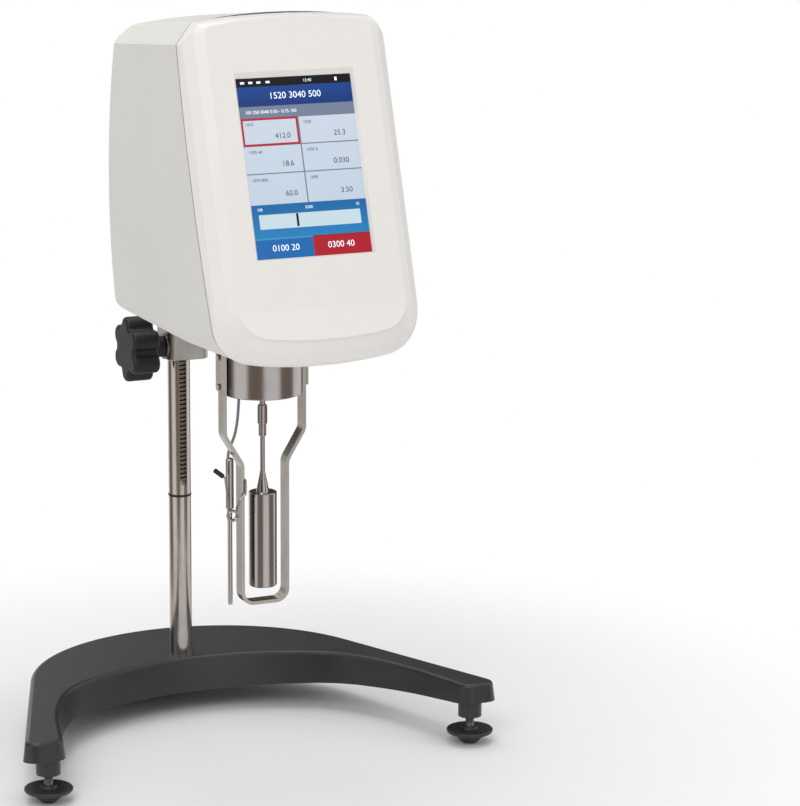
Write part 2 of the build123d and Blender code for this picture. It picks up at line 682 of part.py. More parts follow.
def make_tension_screw():
    start = ROD_RADIUS + ROD_CLEARANCE + TENSION_PAD_LENGTH + SCREW_TIP_GAP
    head_start = CLAMP_HALF_WIDTH + TENSION_HEAD_STAND
    screw = cylinder_x(TENSION_RADIUS, start, head_start, ROD_Y, TENSION_Z)
    head = cylinder_x(TENSION_HEAD_RADIUS, head_start, head_start + TENSION_HEAD_LENGTH, ROD_Y, TENSION_Z)
    head = chamfer(head.edges(), 0.5)
    end = head_start + TENSION_HEAD_LENGTH
    slot = block((end - 1.5, end + 1), (ROD_Y - 0.6, ROD_Y + 0.6), (TENSION_Z - 8, TENSION_Z + 8))
    return screw + head - slot


def make_lock_screw():
    """Screw with a moulded knob that locks the head's mounting rod in the clamp."""
    y = ROD_Y - LOCK_Y_OFFSET
    start = MOUNT_ROD_RADIUS + SCREW_TIP_GAP
    knob_start = CLAMP_HALF_WIDTH + LOCK_KNOB_STAND
    screw = cylinder_x(LOCK_STUD_RADIUS, start, knob_start + 1, y, ARM_AXIS_Z)
    outline = Circle(LOCK_KNOB_RADIUS)
    for lobe in range(5):
        outline -= Rot(0, 0, 72 * lobe) * Pos(0, LOCK_KNOB_RADIUS + 3) * Circle(5.0)
    knob = extrude(Plane.YZ * Pos(y, ARM_AXIS_Z) * outline, amount=LOCK_KNOB_LENGTH)
    knob = chamfer(knob.faces().filter_by(Axis.X).edges(), 0.8)
    return screw + Pos(knob_start, 0, 0) * knob


# Head shells


def head_section(station, inset):
    """Outline of the head across its width at one station, set in by a wall."""
    front, side_top, facet, low, low_side, corner = station
    side_top -= inset
    low += inset
    low_side += inset
    crown = side_top + facet
    top_half = HEAD_TOP_HALF_WIDTH - inset
    foot_half = HEAD_FOOT_HALF_WIDTH - inset
    roof_half = top_half - FACET_RUN
    roof = ThreePointArc((-roof_half, crown), (0, crown + CROWN_RISE), (roof_half, crown))
    facet_line = Line((roof_half, crown), (top_half, side_top))
    widest = (HEAD_HALF_WIDTH - inset, HEAD_WIDEST_Z)
    side = ThreePointArc((top_half, side_top), widest, (foot_half, low_side))
    under = ThreePointArc((foot_half, low_side), (0, low), (-foot_half, low_side))
    other = [mirror(side, Plane.YZ), mirror(facet_line, Plane.YZ)]
    outline = make_face([roof, facet_line, side, under] + [edge for part in other for edge in part.edges()])
    outline = fillet(outline.vertices().group_by(Axis.Y)[0], corner - inset)
    outline = fillet(outline.vertices().group_by(Axis.Y)[-1], FACET_CORNER)
    return Plane(origin=(0, ROD_Y - front, 0), x_dir=(1, 0, 0), z_dir=(0, -1, 0)) * outline


def side_outline(inset):
    """Side outline of the head in (y, z): floor, cut-off rear corners, slanted face and chin."""
    high = HEAD_SECTIONS[0][1] + 60
    behind = ROD_Y - HEAD_REAR + 20
    bevel = (ROD_Y - HEAD_REAR - 9, REAR_BEVEL_Z)
    bevel_end = (bevel[0] - 50, bevel[1] + 65)
    floor_back = (ROD_Y - HEAD_REAR - 9 - REAR_FOOT_CORNER, HEAD_BOTTOM)
    corner_top = (ROD_Y - HEAD_REAR - 6, HEAD_BOTTOM + REAR_FOOT_CORNER)
    corner_middle = (floor_back[0] + REAR_FOOT_CORNER * 0.72, HEAD_BOTTOM + 6)
    corner = ThreePointArc(floor_back, corner_middle, corner_top)
    kick = (face_y(CHIN_Z) - KICK, CHIN_Z)
    lip = (face_y(LIP_Z) + LIP_BACK, LIP_Z)
    chin_middle = ((kick[0] + lip[0]) / 2 - CHIN_BULGE, (CHIN_Z + LIP_Z) / 2 - CHIN_BULGE)
    rest = Polyline(
        corner_top,
        (behind, corner_top[1] + 40),
        (behind, bevel[1] - 40),
        bevel,
        bevel_end,
        (bevel_end[0], high),
        (face_y(high), high),
        (face_y(KICK_Z), KICK_Z),
        kick,
    )
    chin = ThreePointArc(kick, chin_middle, lip)
    floor = Polyline(lip, (lip[0] + LIP_RUN, HEAD_BOTTOM), floor_back)
    outline = make_face([corner, *rest.edges(), chin, *floor.edges()])
    if inset:
        outline = offset(outline, amount=-inset)
    return outline


def rear_bow(inset):
    """Barrel whose rim gives the head its bowed back with rounded corners."""
    radius = HEAD_REAR_RADIUS - inset
    half = HEAD_HALF_WIDTH + 0.3 - inset
    rim = Polyline((0, 0), (half, 0), (half, radius), (-half, radius), (-half, 0), close=True)
    profile = make_face(rim)
    profile = fillet(profile.vertices().group_by(Axis.Y)[-1], REAR_CORNER - inset)
    barrel = revolve(profile, Axis.X)
    return Pos(0, ROD_Y - HEAD_REAR - HEAD_REAR_RADIUS, HEAD_REAR_MID_Z) * barrel


def head_form(inset=0.0):
    """The head's outer form, or the same form set in by a wall."""
    body = loft([head_section(station, inset) for station in HEAD_SECTIONS], ruled=True)
    side = extrude(Plane.YZ * side_outline(inset), amount=HEAD_HALF_WIDTH + 20, both=True)
    return body & side & rear_bow(inset)


def border_outline(growth):
    """Outline of the rounded border in the face's plane."""
    half = FACE_HALF_WIDTH + growth
    low = FACE_LOW - growth
    high = FACE_HIGH + 0.4 * growth
    roof = ThreePointArc((-half, high - CROWN_RISE), (0, high), (half, high - CROWN_RISE))
    right = Line((half, high - CROWN_RISE), (half, low + FACE_SAG))
    under = ThreePointArc((half, low + FACE_SAG), (0, low), (-half, low + FACE_SAG))
    left = Line((-half, low + FACE_SAG), (-half, high - CROWN_RISE))
    outline = make_face([roof, right, under, left])
    outline = fillet(outline.vertices().group_by(Axis.Y)[0], FACE_CORNER + growth)
    return fillet(outline.vertices().group_by(Axis.Y)[-1], FACET_CORNER)


def face_border(inset):
    """Solid that rounds the head's front towards the face."""
    sections = [face_plane(depth + inset) * border_outline(growth - inset) for depth, growth in FACE_BORDER]
    return loft(sections, ruled=True)


def face_slab(near, far):
    """Thick plate parallel to the face between two depths."""
    return extrude(face_plane(far) * Rectangle(2 * FACE_SPAN, 4 * FACE_SPAN), amount=far - near)


def make_front_bezel(outer, inner):
    front = face_slab(-40, SEAM_DEPTH)
    rounded = outer & face_border(0) & front
    hollow = inner & face_border(SHELL_WALL) & face_slab(-40, SEAM_DEPTH + 1)
    bezel = rounded - hollow
    root = head_form(SHELL_WALL - 0.6) - head_form(SHELL_WALL + LIP_CLEARANCE + LIP_WALL)
    tongue = head_form(SHELL_WALL + LIP_CLEARANCE) - head_form(SHELL_WALL + LIP_CLEARANCE + LIP_WALL)
    bezel += root & face_slab(SEAM_DEPTH - LIP_DEPTH, SEAM_DEPTH)
    bezel += tongue & face_slab(SEAM_DEPTH - 0.5, SEAM_DEPTH + LIP_DEPTH)
    for x in (-1, 1):
        for v in (-1, 1):
            spot = face_plane(BOARD_DEPTH) * Pos(x * POST_X, SCREEN_MIDDLE + v * POST_V)
            bezel += spot * Cylinder(STANDOFF_RADIUS, BOARD_DEPTH - SHELL_WALL + 0.5, align=ON_END)
    return bezel - screen_opening()


def screen_opening():
    """Window in the bezel with its bevelled border."""
    middle = SCREEN_MIDDLE
    window = Rectangle(SCREEN_WIDTH, SCREEN_HEIGHT)
    through = extrude(face_plane(SHELL_WALL + 2) * Pos(0, middle) * window, amount=30)
    wide = face_plane(-0.01) * Pos(0, middle + BEVEL_TOP / 2 - 0.5) * Rectangle(
        SCREEN_WIDTH + 2 * BEVEL_SIDE, SCREEN_HEIGHT + BEVEL_TOP + 1
    )
    narrow = face_plane(SCREEN_RECESS) * Pos(0, middle) * window
    return through + loft([narrow, wide], ruled=True)


def screen_plate(near, thickness, margin, window=None):
    """Rectangular layer behind the bezel, as wide as the screen and a margin."""
    outline = Rectangle(SCREEN_WIDTH + 2 * margin, SCREEN_HEIGHT + 2 * margin)
    if window is not None:
        outline -= Rectangle(SCREEN_WIDTH + 2 * window, SCREEN_HEIGHT + 2 * window)
    return extrude(face_plane(near + thickness) * Pos(0, SCREEN_MIDDLE) * outline, amount=thickness)


def make_display_glass():
    return screen_plate(SHELL_WALL, GLASS_THICKNESS, GLASS_MARGIN)


def make_display_gasket():
    near = SHELL_WALL + GLASS_THICKNESS
    return screen_plate(near, GASKET_THICKNESS, GLASS_MARGIN - 0.5, GLASS_MARGIN - 0.5 - GASKET_WIDTH)


def make_lcd_panel():
    return screen_plate(PANEL_DEPTH, PANEL_THICKNESS, PANEL_MARGIN)


def make_main_board():
    back = face_plane(BOARD_DEPTH + BOARD_THICKNESS) * Pos(0, SCREEN_MIDDLE)
    board = extrude(back * Rectangle(BOARD_WIDTH, BOARD_HEIGHT), amount=BOARD_THICKNESS)
    for x in (-1, 1):
        for v in (-1, 1):
            place = Pos(x * SCREEN_WIDTH / 3, SCREEN_MIDDLE + v * SCREEN_HEIGHT / 3)
            board += face_plane(BOARD_DEPTH) * place * Cylinder(STANDOFF_RADIUS, BOARD_GAP, align=ON_END)
    for x, v, width, height in BOARD_CHIPS:
        spot = face_plane(BOARD_DEPTH + BOARD_THICKNESS + CHIP_HEIGHT) * Pos(x, SCREEN_MIDDLE + v)
        board += spot * extrude(Rectangle(width, height), amount=CHIP_HEIGHT)
    return board


def chassis_outline(margin):
    """Outline of the chassis in plan: the opening of the shell's underside, grown by a margin."""
    half = CHASSIS_HALF_WIDTH + margin
    front = ROD_Y - CHASSIS_FRONT - margin
    rear = ROD_Y - CHASSIS_REAR + margin
    outline = Pos(0, (front + rear) / 2) * Rectangle(2 * half, rear - front)
    return fillet(outline.vertices(), CHASSIS_CORNER + margin)


def make_rear_shell(outer, inner):
    shell = (outer - inner) & face_slab(SEAM_DEPTH, 400)
    opening = extrude(chassis_outline(SHELL_GAP), amount=40)
    shell -= Pos(0, 0, HEAD_BOTTOM - 20) * opening
    half_x = PANEL_PLATE_WIDTH / 2 + SHELL_GAP / 2
    half_z = PANEL_PLATE_HEIGHT / 2 + SHELL_GAP / 2
    window = block((-half_x, half_x), (ROD_Y - 70, ROD_Y), (PANEL_PLATE_Z - half_z, PANEL_PLATE_Z + half_z))
    shell -= window
    shell -= cylinder_y(MOUNT_ROD_RADIUS + 1.0, ROD_Y - 80, ROD_Y, 0, ARM_AXIS_Z)
    for x, y in SHELL_SCREWS:
        shell -= cylinder(SHELL_SCREW_RADIUS, HEAD_BOTTOM - 1, HEAD_BOTTOM + SHELL_WALL + 1, x, ROD_Y - y)
        shell -= cylinder(
            SHELL_SCREW_HEAD, HEAD_BOTTOM - 1, HEAD_BOTTOM + SHELL_SCREW_HEAD_HEIGHT / 2, x, ROD_Y - y
        )
    for index in range(VENT_COUNT):
        z = VENT_Z + index * VENT_PITCH
        shell -= block((-VENT_LENGTH / 2, VENT_LENGTH / 2), (ROD_Y - 75, ROD_Y), (z, z + VENT_HEIGHT))
    return shell


def make_chassis():
    plate = Pos(0, 0, HEAD_BOTTOM) * extrude(chassis_outline(0), amount=CHASSIS_THICKNESS)
    flange = Pos(0, 0, HEAD_BOTTOM + SHELL_WALL) * extrude(
        chassis_outline(FLANGE_WIDTH), amount=CHASSIS_THICKNESS - SHELL_WALL
    )
    chassis = plate + flange
    rear = ROD_Y - CHASSIS_REAR
    chassis += block(
        (-REAR_BLOCK_HALF_WIDTH, REAR_BLOCK_HALF_WIDTH),
        (rear - REAR_BLOCK_DEPTH, rear),
        (CHASSIS_TOP - 1, HEAD_BOTTOM + REAR_BLOCK_HEIGHT),
    )
    chassis -= cylinder_y(MOUNT_ROD_RADIUS, rear - REAR_BLOCK_DEPTH + 4, rear + 10, 0, ARM_AXIS_Z)
    chassis -= cylinder(CUP_RADIUS - CUP_WALL, HEAD_BOTTOM - 1, CHASSIS_TOP + 1, 0, SPINDLE_Y)
    chassis -= cylinder(GLAND_NECK_RADIUS, HEAD_BOTTOM - 1, CHASSIS_TOP + 1, GLAND_X, GLAND_Y)
    for x, y in SHELL_SCREWS:
        chassis -= cylinder(SHELL_SCREW_RADIUS, HEAD_BOTTOM, CHASSIS_TOP - 1, x, ROD_Y - y)
    for x, y in cup_screw_places():
        chassis -= cylinder(CUP_SCREW_RADIUS, HEAD_BOTTOM - 1, CHASSIS_TOP + 1, x, y)
    return chassis


def make_shell_screws():
    screws = []
    low = HEAD_BOTTOM - SHELL_SCREW_HEAD_HEIGHT / 2
    for x, y in SHELL_SCREWS:
        head = cylinder(SHELL_SCREW_HEAD, low, low + SHELL_SCREW_HEAD_HEIGHT, x, ROD_Y - y)
        head = chamfer(head.edges().sort_by(Axis.Z)[0], 0.4)
        head += cylinder(SHELL_SCREW_RADIUS, low + 1, CHASSIS_TOP - 1, x, ROD_Y - y)
        screws.append(head)
    return Compound(children=screws)


def make_frame_pillars():
    pillars = [cylinder(PILLAR_RADIUS, CHASSIS_TOP, PLATE_Z, x, y) for x, y in PILLAR_PLACES]
    return Compound(children=pillars)


def make_bearing_plate():
    half = PILLAR_X + PLATE_MARGIN
    front = PILLAR_PLACES[0][1] - PLATE_MARGIN
    rear = PILLAR_PLACES[-1][1] + PLATE_MARGIN
    plate = block((-half, half), (front, rear), (PLATE_Z, PLATE_Z + PLATE_THICKNESS))
    plate = fillet(plate.edges().filter_by(Axis.Z), PLATE_MARGIN / 2)
    plate += cylinder(BEARING_BOSS_RADIUS, PLATE_Z - BEARING_BOSS_DEPTH, PLATE_Z, 0, SPINDLE_Y)
    plate -= cylinder(BEARING_RADIUS, PLATE_Z - BEARING_BOSS_DEPTH, PLATE_Z + PLATE_THICKNESS, 0, SPINDLE_Y)
    return plate - cylinder(MOTOR_PILOT_RADIUS, PLATE_Z, PLATE_Z + PLATE_THICKNESS, 0, MOTOR_Y)


def make_shaft_bearings():
    low = PLATE_Z - BEARING_BOSS_DEPTH
    high = PLATE_Z + PLATE_THICKNESS
    bore = DRIVE_SHAFT_RADIUS + SHAFT_CLEARANCE
    rings = []
    for z in (low, high - BEARING_HEIGHT):
        ring = cylinder(BEARING_RADIUS, z, z + BEARING_HEIGHT, 0, SPINDLE_Y)
        rings.append(ring - cylinder(bore, z, z + BEARING_HEIGHT, 0, SPINDLE_Y))
    return Compound(children=rings)


def make_stepper_motor():
    low = PLATE_Z + PLATE_THICKNESS
    half = MOTOR_SIDE / 2
    body = block((-half, half), (MOTOR_Y - half, MOTOR_Y + half), (low, low + MOTOR_HEIGHT))
    body = chamfer(body.edges().filter_by(Axis.Z), MOTOR_EDGE)
    body += cylinder(MOTOR_PILOT_RADIUS, PLATE_Z + PLATE_THICKNESS / 2, low + 1, 0, MOTOR_Y)
    bore = MOTOR_SHAFT_RADIUS + SHAFT_CLEARANCE
    return body - cylinder(bore, PLATE_Z, low + MOTOR_HEIGHT / 2 + 0.5, 0, MOTOR_Y)


def make_drive_pinion():
    pinion = Pos(0, MOTOR_Y, WHEEL_LOW) * Rot(0, 0, 90) * extrude(
        Rot(0, 0, 180 / PINION_TEETH) * gear_face(PINION_TEETH, PINION_ADDENDUM), amount=WHEEL_FACE
    )
    top = PLATE_Z + PLATE_THICKNESS + MOTOR_HEIGHT / 2
    return pinion + cylinder(MOTOR_SHAFT_RADIUS, WHEEL_LOW - 1, top, 0, MOTOR_Y)


def make_drive_gear():
    wheel = Rot(0, 0, 90) * extrude(gear_face(WHEEL_TEETH, WHEEL_ADDENDUM), amount=WHEEL_FACE)
    wheel = Pos(0, SPINDLE_Y, WHEEL_LOW) * wheel
    return wheel - cylinder(DRIVE_SHAFT_RADIUS, WHEEL_LOW, WHEEL_LOW + WHEEL_FACE, 0, SPINDLE_Y)


def make_drive_shaft():
    low = SPRING_HOUSING_BOTTOM + SPRING_HOUSING_HEIGHT
    shaft = cylinder(DRIVE_SHAFT_RADIUS, low, DRIVE_SHAFT_TOP, 0, SPINDLE_Y)
    shaft -= cylinder(DRIVE_BORE_RADIUS, low, DRIVE_GUIDE_BOTTOM, 0, SPINDLE_Y)
    return shaft - cylinder(PIVOT_RADIUS + SHAFT_CLEARANCE, low, DRIVE_SHAFT_TOP, 0, SPINDLE_Y)


def make_spring_housing():
    low = SPRING_HOUSING_BOTTOM
    high = low + SPRING_HOUSING_HEIGHT
    housing = cylinder(SPRING_HOUSING_RADIUS, low, high, 0, SPINDLE_Y)
    room = SPRING_HOUSING_RADIUS - SPRING_HOUSING_WALL
    housing -= cylinder(room, low, high - SPRING_HOUSING_WALL, 0, SPINDLE_Y)
    return housing - cylinder(DRIVE_BORE_RADIUS, low, high, 0, SPINDLE_Y)


def make_torque_spring():
    """Flat spiral of half-circle arcs from the pivot shaft out to the housing's wall."""
    radius = SPRING_INNER
    edges = []
    point = Vector(radius, 0)
    side = -1
    centre_x = 0.0
    outer_limit = SPRING_HOUSING_RADIUS - SPRING_HOUSING_WALL - SPRING_STRIP
    while radius + SPRING_PITCH / 4 < outer_limit:
        radius += SPRING_PITCH / 4
        centre_x += side * SPRING_PITCH / 4
        middle = Vector(centre_x, -side * radius)
        end = Vector(centre_x + side * radius, 0)
        edges.append(ThreePointArc(point, middle, end))
        point = end
        side = -side
    path = Wire([edge for arc in edges for edge in arc.edges()])
    strip = trace(path, SPRING_STRIP)
    low = SPRING_HOUSING_BOTTOM + SPRING_LIFT
    spring = Pos(0, SPINDLE_Y, low) * extrude(strip, amount=SPRING_HEIGHT)
    wall = SPRING_HOUSING_RADIUS - SPRING_HOUSING_WALL
    reach = Pos(point.X / abs(point.X) * (abs(point.X) + wall) / 2, SPINDLE_Y, low + SPRING_HEIGHT / 2)
    tab = reach * Box(wall - abs(point.X) + 0.4, 2.0, SPRING_HEIGHT)
    return (spring + tab) & cylinder(wall, low - 1, low + SPRING_HEIGHT + 1, 0, SPINDLE_Y)


# Measuring head


def cup_screw_places():
    radius = CUP_RADIUS - CUP_WALL / 2
    return [(radius * cos(radians(a)), SPINDLE_Y + radius * sin(radians(a))) for a in (45, 135, 225, 315)]


def make_pivot_cup():
    cup = cylinder(CUP_RADIUS, CUP_BOTTOM, HEAD_BOTTOM, 0, SPINDLE_Y)
    cup = fillet(cup.edges().sort_by(Axis.Z)[0], CUP_EDGE_ROUND)
    room = CUP_RADIUS - CUP_WALL
    cup -= cylinder(room, CUP_BOTTOM + CUP_FLOOR, HEAD_BOTTOM + 1, 0, SPINDLE_Y)
    cup += cylinder(CUP_HUB_RADIUS, CUP_BOTTOM - CUP_HUB_DROP, CUP_BOTTOM + 1, 0, SPINDLE_Y)
    bridge = block((-room, room), (SPINDLE_Y - 6, SPINDLE_Y + 6), (JEWEL_Z - JEWEL_BRIDGE, JEWEL_Z))
    cup += bridge & cylinder(room + 0.5, CUP_BOTTOM, HEAD_BOTTOM, 0, SPINDLE_Y)
    cup -= cylinder(PIVOT_RADIUS + PIVOT_GAP, CUP_BOTTOM - 10, JEWEL_Z + 1, 0, SPINDLE_Y)
    for x, y in cup_screw_places():
        cup -= cylinder(CUP_SCREW_RADIUS, HEAD_BOTTOM - CUP_SCREW_REACH, HEAD_BOTTOM + 1, x, y)
    for side in (-1, 1):
        for z in GUARD_SCREW_HEIGHTS:
            wall = side * CUP_RADIUS
            cup -= cylinder_x(GUARD_SCREW_RADIUS, wall - 4, wall + 4, SPINDLE_Y, z)
    return cup


def make_cup_screws():
    screws = []
    for x, y in cup_screw_places():
        head = cylinder(CUP_SCREW_HEAD, CHASSIS_TOP, CHASSIS_TOP + CUP_SCREW_HEAD_HEIGHT, x, y)
        shank = cylinder(CUP_SCREW_RADIUS, HEAD_BOTTOM - CUP_SCREW_REACH + 1, CHASSIS_TOP, x, y)
        screws.append(head + shank)
    return Compound(children=screws)


def make_jewel_bearing():
    ring = cylinder(JEWEL_RADIUS, JEWEL_Z, JEWEL_Z + JEWEL_HEIGHT, 0, SPINDLE_Y)
    return ring - cylinder(PIVOT_RADIUS + SHAFT_CLEARANCE, JEWEL_Z, JEWEL_Z + JEWEL_HEIGHT, 0, SPINDLE_Y)


def make_pivot_shaft():
    """Measuring shaft with the collar that the torque spring's inner end sits round."""
    low = SPRING_HOUSING_BOTTOM + SPRING_LIFT
    shaft = cylinder(PIVOT_RADIUS, PIVOT_BOTTOM, PIVOT_TOP, 0, SPINDLE_Y)
    return shaft + cylinder(COLLAR_RADIUS, low, low + SPRING_HEIGHT, 0, SPINDLE_Y)


def make_coupling_nut():
    waist_top = COUPLING_BOTTOM + COUPLING_WAIST_HEIGHT
    profile = [
        (0, COUPLING_BOTTOM),
        (COUPLING_WAIST_RADIUS - 0.4, COUPLING_BOTTOM),
        (COUPLING_WAIST_RADIUS, COUPLING_BOTTOM + 0.4),
        (COUPLING_WAIST_RADIUS, waist_top),
        (COUPLING_RADIUS - 0.3, waist_top),
        (COUPLING_RADIUS, waist_top + 0.4),
        (COUPLING_RADIUS, COUPLING_TOP - 0.5),
        (COUPLING_RADIUS - 0.5, COUPLING_TOP),
        (0, COUPLING_TOP),
    ]
    nut = turned(profile, 0, SPINDLE_Y)
    nut -= cylinder(PIVOT_RADIUS, PIVOT_BOTTOM, COUPLING_TOP + 1, 0, SPINDLE_Y)
    return nut - cylinder(SPINDLE_SHAFT_RADIUS, COUPLING_BOTTOM - 1, SPINDLE_SHAFT_TOP, 0, SPINDLE_Y)


def make_spindle():
    profile = [
        (0, SPINDLE_BOTTOM),
        (SPINDLE_RADIUS - SPINDLE_EDGE_ROUND, SPINDLE_BOTTOM),
        (SPINDLE_RADIUS, SPINDLE_BOTTOM + SPINDLE_EDGE_ROUND),
        (SPINDLE_RADIUS, SPINDLE_TOP - SPINDLE_EDGE_ROUND / 2),
        (SPINDLE_RADIUS - SPINDLE_EDGE_ROUND / 2, SPINDLE_TOP),
        (CONE_RADIUS, SPINDLE_TOP),
        (SPINDLE_SHAFT_RADIUS, CONE_TOP),
        (SPINDLE_SHAFT_RADIUS, SPINDLE_SHAFT_TOP),
        (0, SPINDLE_SHAFT_TOP),
    ]
    return turned(profile, 0, SPINDLE_Y)


def make_guard_leg():
    """Bent strip that runs down one side of the spindle, under it and up the other side."""
    inner_upper = GUARD_UPPER - STRIP_THICKNESS / 2
    inner_lower = GUARD_LOWER - STRIP_THICKNESS / 2
    low = GUARD_BOTTOM + STRIP_THICKNESS / 2
    corners = [
        (-inner_upper, HEAD_BOTTOM),
        (-inner_upper, GUARD_BEND_HIGH),
        (-inner_lower, GUARD_BEND_LOW),
        (-inner_lower, low),
        (inner_lower, low),
        (inner_lower, GUARD_BEND_LOW),
        (inner_upper, GUARD_BEND_HIGH),
        (inner_upper, HEAD_BOTTOM),
    ]
    path = FilletPolyline(*corners, radius=GUARD_BEND_RADIUS)
    strip = trace(Wire(path.edges()), STRIP_THICKNESS)
    upright = Plane(origin=(0, SPINDLE_Y, 0), x_dir=(1, 0, 0), z_dir=(0, -1, 0))
    leg = extrude(upright * strip, STRIP_WIDTH / 2, both=True)
    leg -= block((-50, 50), (SPINDLE_Y - 20, SPINDLE_Y + 20), (HEAD_BOTTOM, HEAD_BOTTOM + 20))
    for side in (-1, 1):
        for z in GUARD_SCREW_HEIGHTS:
            x = side * GUARD_UPPER
            leg -= cylinder_x(GUARD_SCREW_RADIUS, x - 4, x + 4, SPINDLE_Y, z)
    return leg - cylinder(CUP_RADIUS, CUP_BOTTOM, HEAD_BOTTOM + 1, 0, SPINDLE_Y)


def make_guard_brackets():
    plates = []
    for side in (-1, 1):
        inside = side * GUARD_UPPER
        outside = side * (GUARD_UPPER + GUARD_PLATE_THICKNESS)
        front = SPINDLE_Y - GUARD_PLATE_WIDTH / 2
        back = SPINDLE_Y + GUARD_PLATE_WIDTH / 2
        plate = block(sorted((inside, outside)), (front, back), (GUARD_PLATE_BOTTOM, HEAD_BOTTOM))
        low_corners = plate.edges().filter_by(Axis.X).group_by(Axis.Z)[0]
        plate = fillet(low_corners, 2.0)
        for z in GUARD_SCREW_HEIGHTS:
            plate -= cylinder_x(GUARD_SCREW_RADIUS, inside - 4, inside + 4, SPINDLE_Y, z)
        plates.append(plate)
    return Compound(children=plates)


def make_guard_screws():
    screws = []
    for side in (-1, 1):
        for z in GUARD_SCREW_HEIGHTS:
            seat = GUARD_UPPER + GUARD_PLATE_THICKNESS
            head = cylinder_x(GUARD_SCREW_HEAD, seat, seat + GUARD_SCREW_HEAD_HEIGHT, SPINDLE_Y, z)
            head = chamfer(head.edges().sort_by(Axis.X)[-1], 0.4)
            screw = head + cylinder_x(GUARD_SCREW_RADIUS, CUP_RADIUS - 3, seat + 0.5, SPINDLE_Y, z)
            screws.append(screw if side > 0 else mirror(screw, Plane.YZ))
    return Compound(children=screws)


def make_temperature_probe():
    tube = cylinder(PROBE_RADIUS, PROBE_TIP, SLEEVE_BOTTOM + 6, PROBE_X, SPINDLE_Y)
    return fillet(tube.edges().sort_by(Axis.Z)[0], PROBE_RADIUS * 0.9)


def make_probe_sleeve():
    sleeve = cylinder(SLEEVE_RADIUS, SLEEVE_BOTTOM, SLEEVE_TOP, PROBE_X, SPINDLE_Y)
    sleeve = fillet(sleeve.edges().sort_by(Axis.Z)[-1], SLEEVE_RADIUS * 0.6)
    return sleeve - cylinder(PROBE_RADIUS, PROBE_TIP, SLEEVE_BOTTOM + 6, PROBE_X, SPINDLE_Y)


def clip_ring(y):
    return Pos(CLIP_X, y, CLIP_Z) * Rot(90, 0, 0) * Torus(CLIP_COIL_RADIUS, CLIP_WIRE)


def bent_wire(points, radius, bend):
    """Round wire along straight runs with rounded bends."""
    path = FilletPolyline(*points, radius=bend)
    section = Plane(origin=path @ 0, z_dir=path % 0) * Circle(radius)
    return sweep(section, Wire(path.edges()))


def make_probe_clip():
    """Rear turn of the clip's coil with the leg whose blade bears on the guard leg's inner face."""
    y = CLIP_Y
    x_blade = BLADE_THICKNESS / 2 + STRIP_THICKNESS - GUARD_LOWER
    front = SPINDLE_Y - STRIP_WIDTH / 2 - CLIP_WIRE - CLIP_GAP
    leg = bent_wire(
        [
            (CLIP_X + CLIP_COIL_RADIUS, y, CLIP_Z),
            (CLIP_X + CLIP_COIL_RADIUS + 0.2, y, CLIP_Z + 5),
            (CLIP_X + CLIP_COIL_RADIUS + 0.9, front, CLIP_Z + 10),
            (x_blade, front, BLADE_LOW + 3),
            (x_blade, front, BLADE_HIGH - 2),
        ],
        CLIP_WIRE,
        1.8,
    )
    blade = block(
        (x_blade - BLADE_THICKNESS / 2, x_blade + BLADE_THICKNESS / 2),
        (front - CLIP_WIRE, SPINDLE_Y + 1),
        (BLADE_LOW + 1, BLADE_HIGH),
    )
    blade = fillet(blade.edges().filter_by(Axis.X), 2.0)
    return clip_ring(y) + leg + blade


def make_clip_lever():
    y = CLIP_Y - CLIP_PITCH
    leg = bent_wire(
        [
            (CLIP_X - CLIP_COIL_RADIUS, y, CLIP_Z),
            (CLIP_X - CLIP_COIL_RADIUS - 0.6, y, CLIP_Z + 14),
            (GRIP_START[0], y, GRIP_START[1]),
            (GRIP_END[0], y, GRIP_END[1]),
        ],
        CLIP_WIRE,
        3.0,
    )
    return clip_ring(y) + leg


def make_clip_grip():
    y = CLIP_Y - CLIP_PITCH
    start = Vector(GRIP_START[0], y, GRIP_START[1])
    end = Vector(GRIP_END[0], y, GRIP_END[1])
    way = (end - start).normalized()
    inner = start + way * 2.0
    outer = end + way * 1.5
    plane = Plane(origin=inner, z_dir=way)
    grip = plane * Cylinder(GRIP_RADIUS, (outer - inner).length, align=ON_END)
    grip = fillet(grip.edges(), GRIP_RADIUS * 0.4)
    return grip - plane * Cylinder(CLIP_WIRE, (end - inner).length, align=ON_END)


def make_probe_lead():
    """Lead along its real route: straight runs joined by tangent arcs."""
    points = [Vector(x, SPINDLE_Y + behind, z) for x, behind, z in LEAD_ROUTE]
    radii = []
    for before, here, after in zip(points, points[1:], points[2:]):
        first = here - before
        second = after - here
        half_turn = radians(first.get_angle(second)) / 2
        radii.append(0.45 * min(first.length, second.length) / tan(half_turn))
    path = FilletPolyline(*points, radius=radii)
    wire = Wire(path.edges())
    lead = sweep(Plane(origin=path @ 0, z_dir=path % 0) * Circle(LEAD_RADIUS), wire)
    print("probe lead: length %.1f, bend radii" % wire.length, [round(r, 1) for r in radii])
    straight = pi * LEAD_RADIUS**2 * wire.length
    print("probe lead: volume %.1f, section x length %.1f" % (lead.volume, straight))
    return lead


def make_lead_gland():
    gland = cylinder(GLAND_RADIUS, HEAD_BOTTOM - GLAND_DROP, HEAD_BOTTOM, GLAND_X, GLAND_Y)
    gland = chamfer(gland.edges().sort_by(Axis.Z)[0], 0.8)
    gland += cylinder(GLAND_NECK_RADIUS, HEAD_BOTTOM, CHASSIS_TOP + 1, GLAND_X, GLAND_Y)
    bore = cylinder(LEAD_RADIUS + SHELL_GAP, HEAD_BOTTOM - 10, LEAD_ROUTE[-1][2] + 0.1, GLAND_X, GLAND_Y)
    return gland - bore


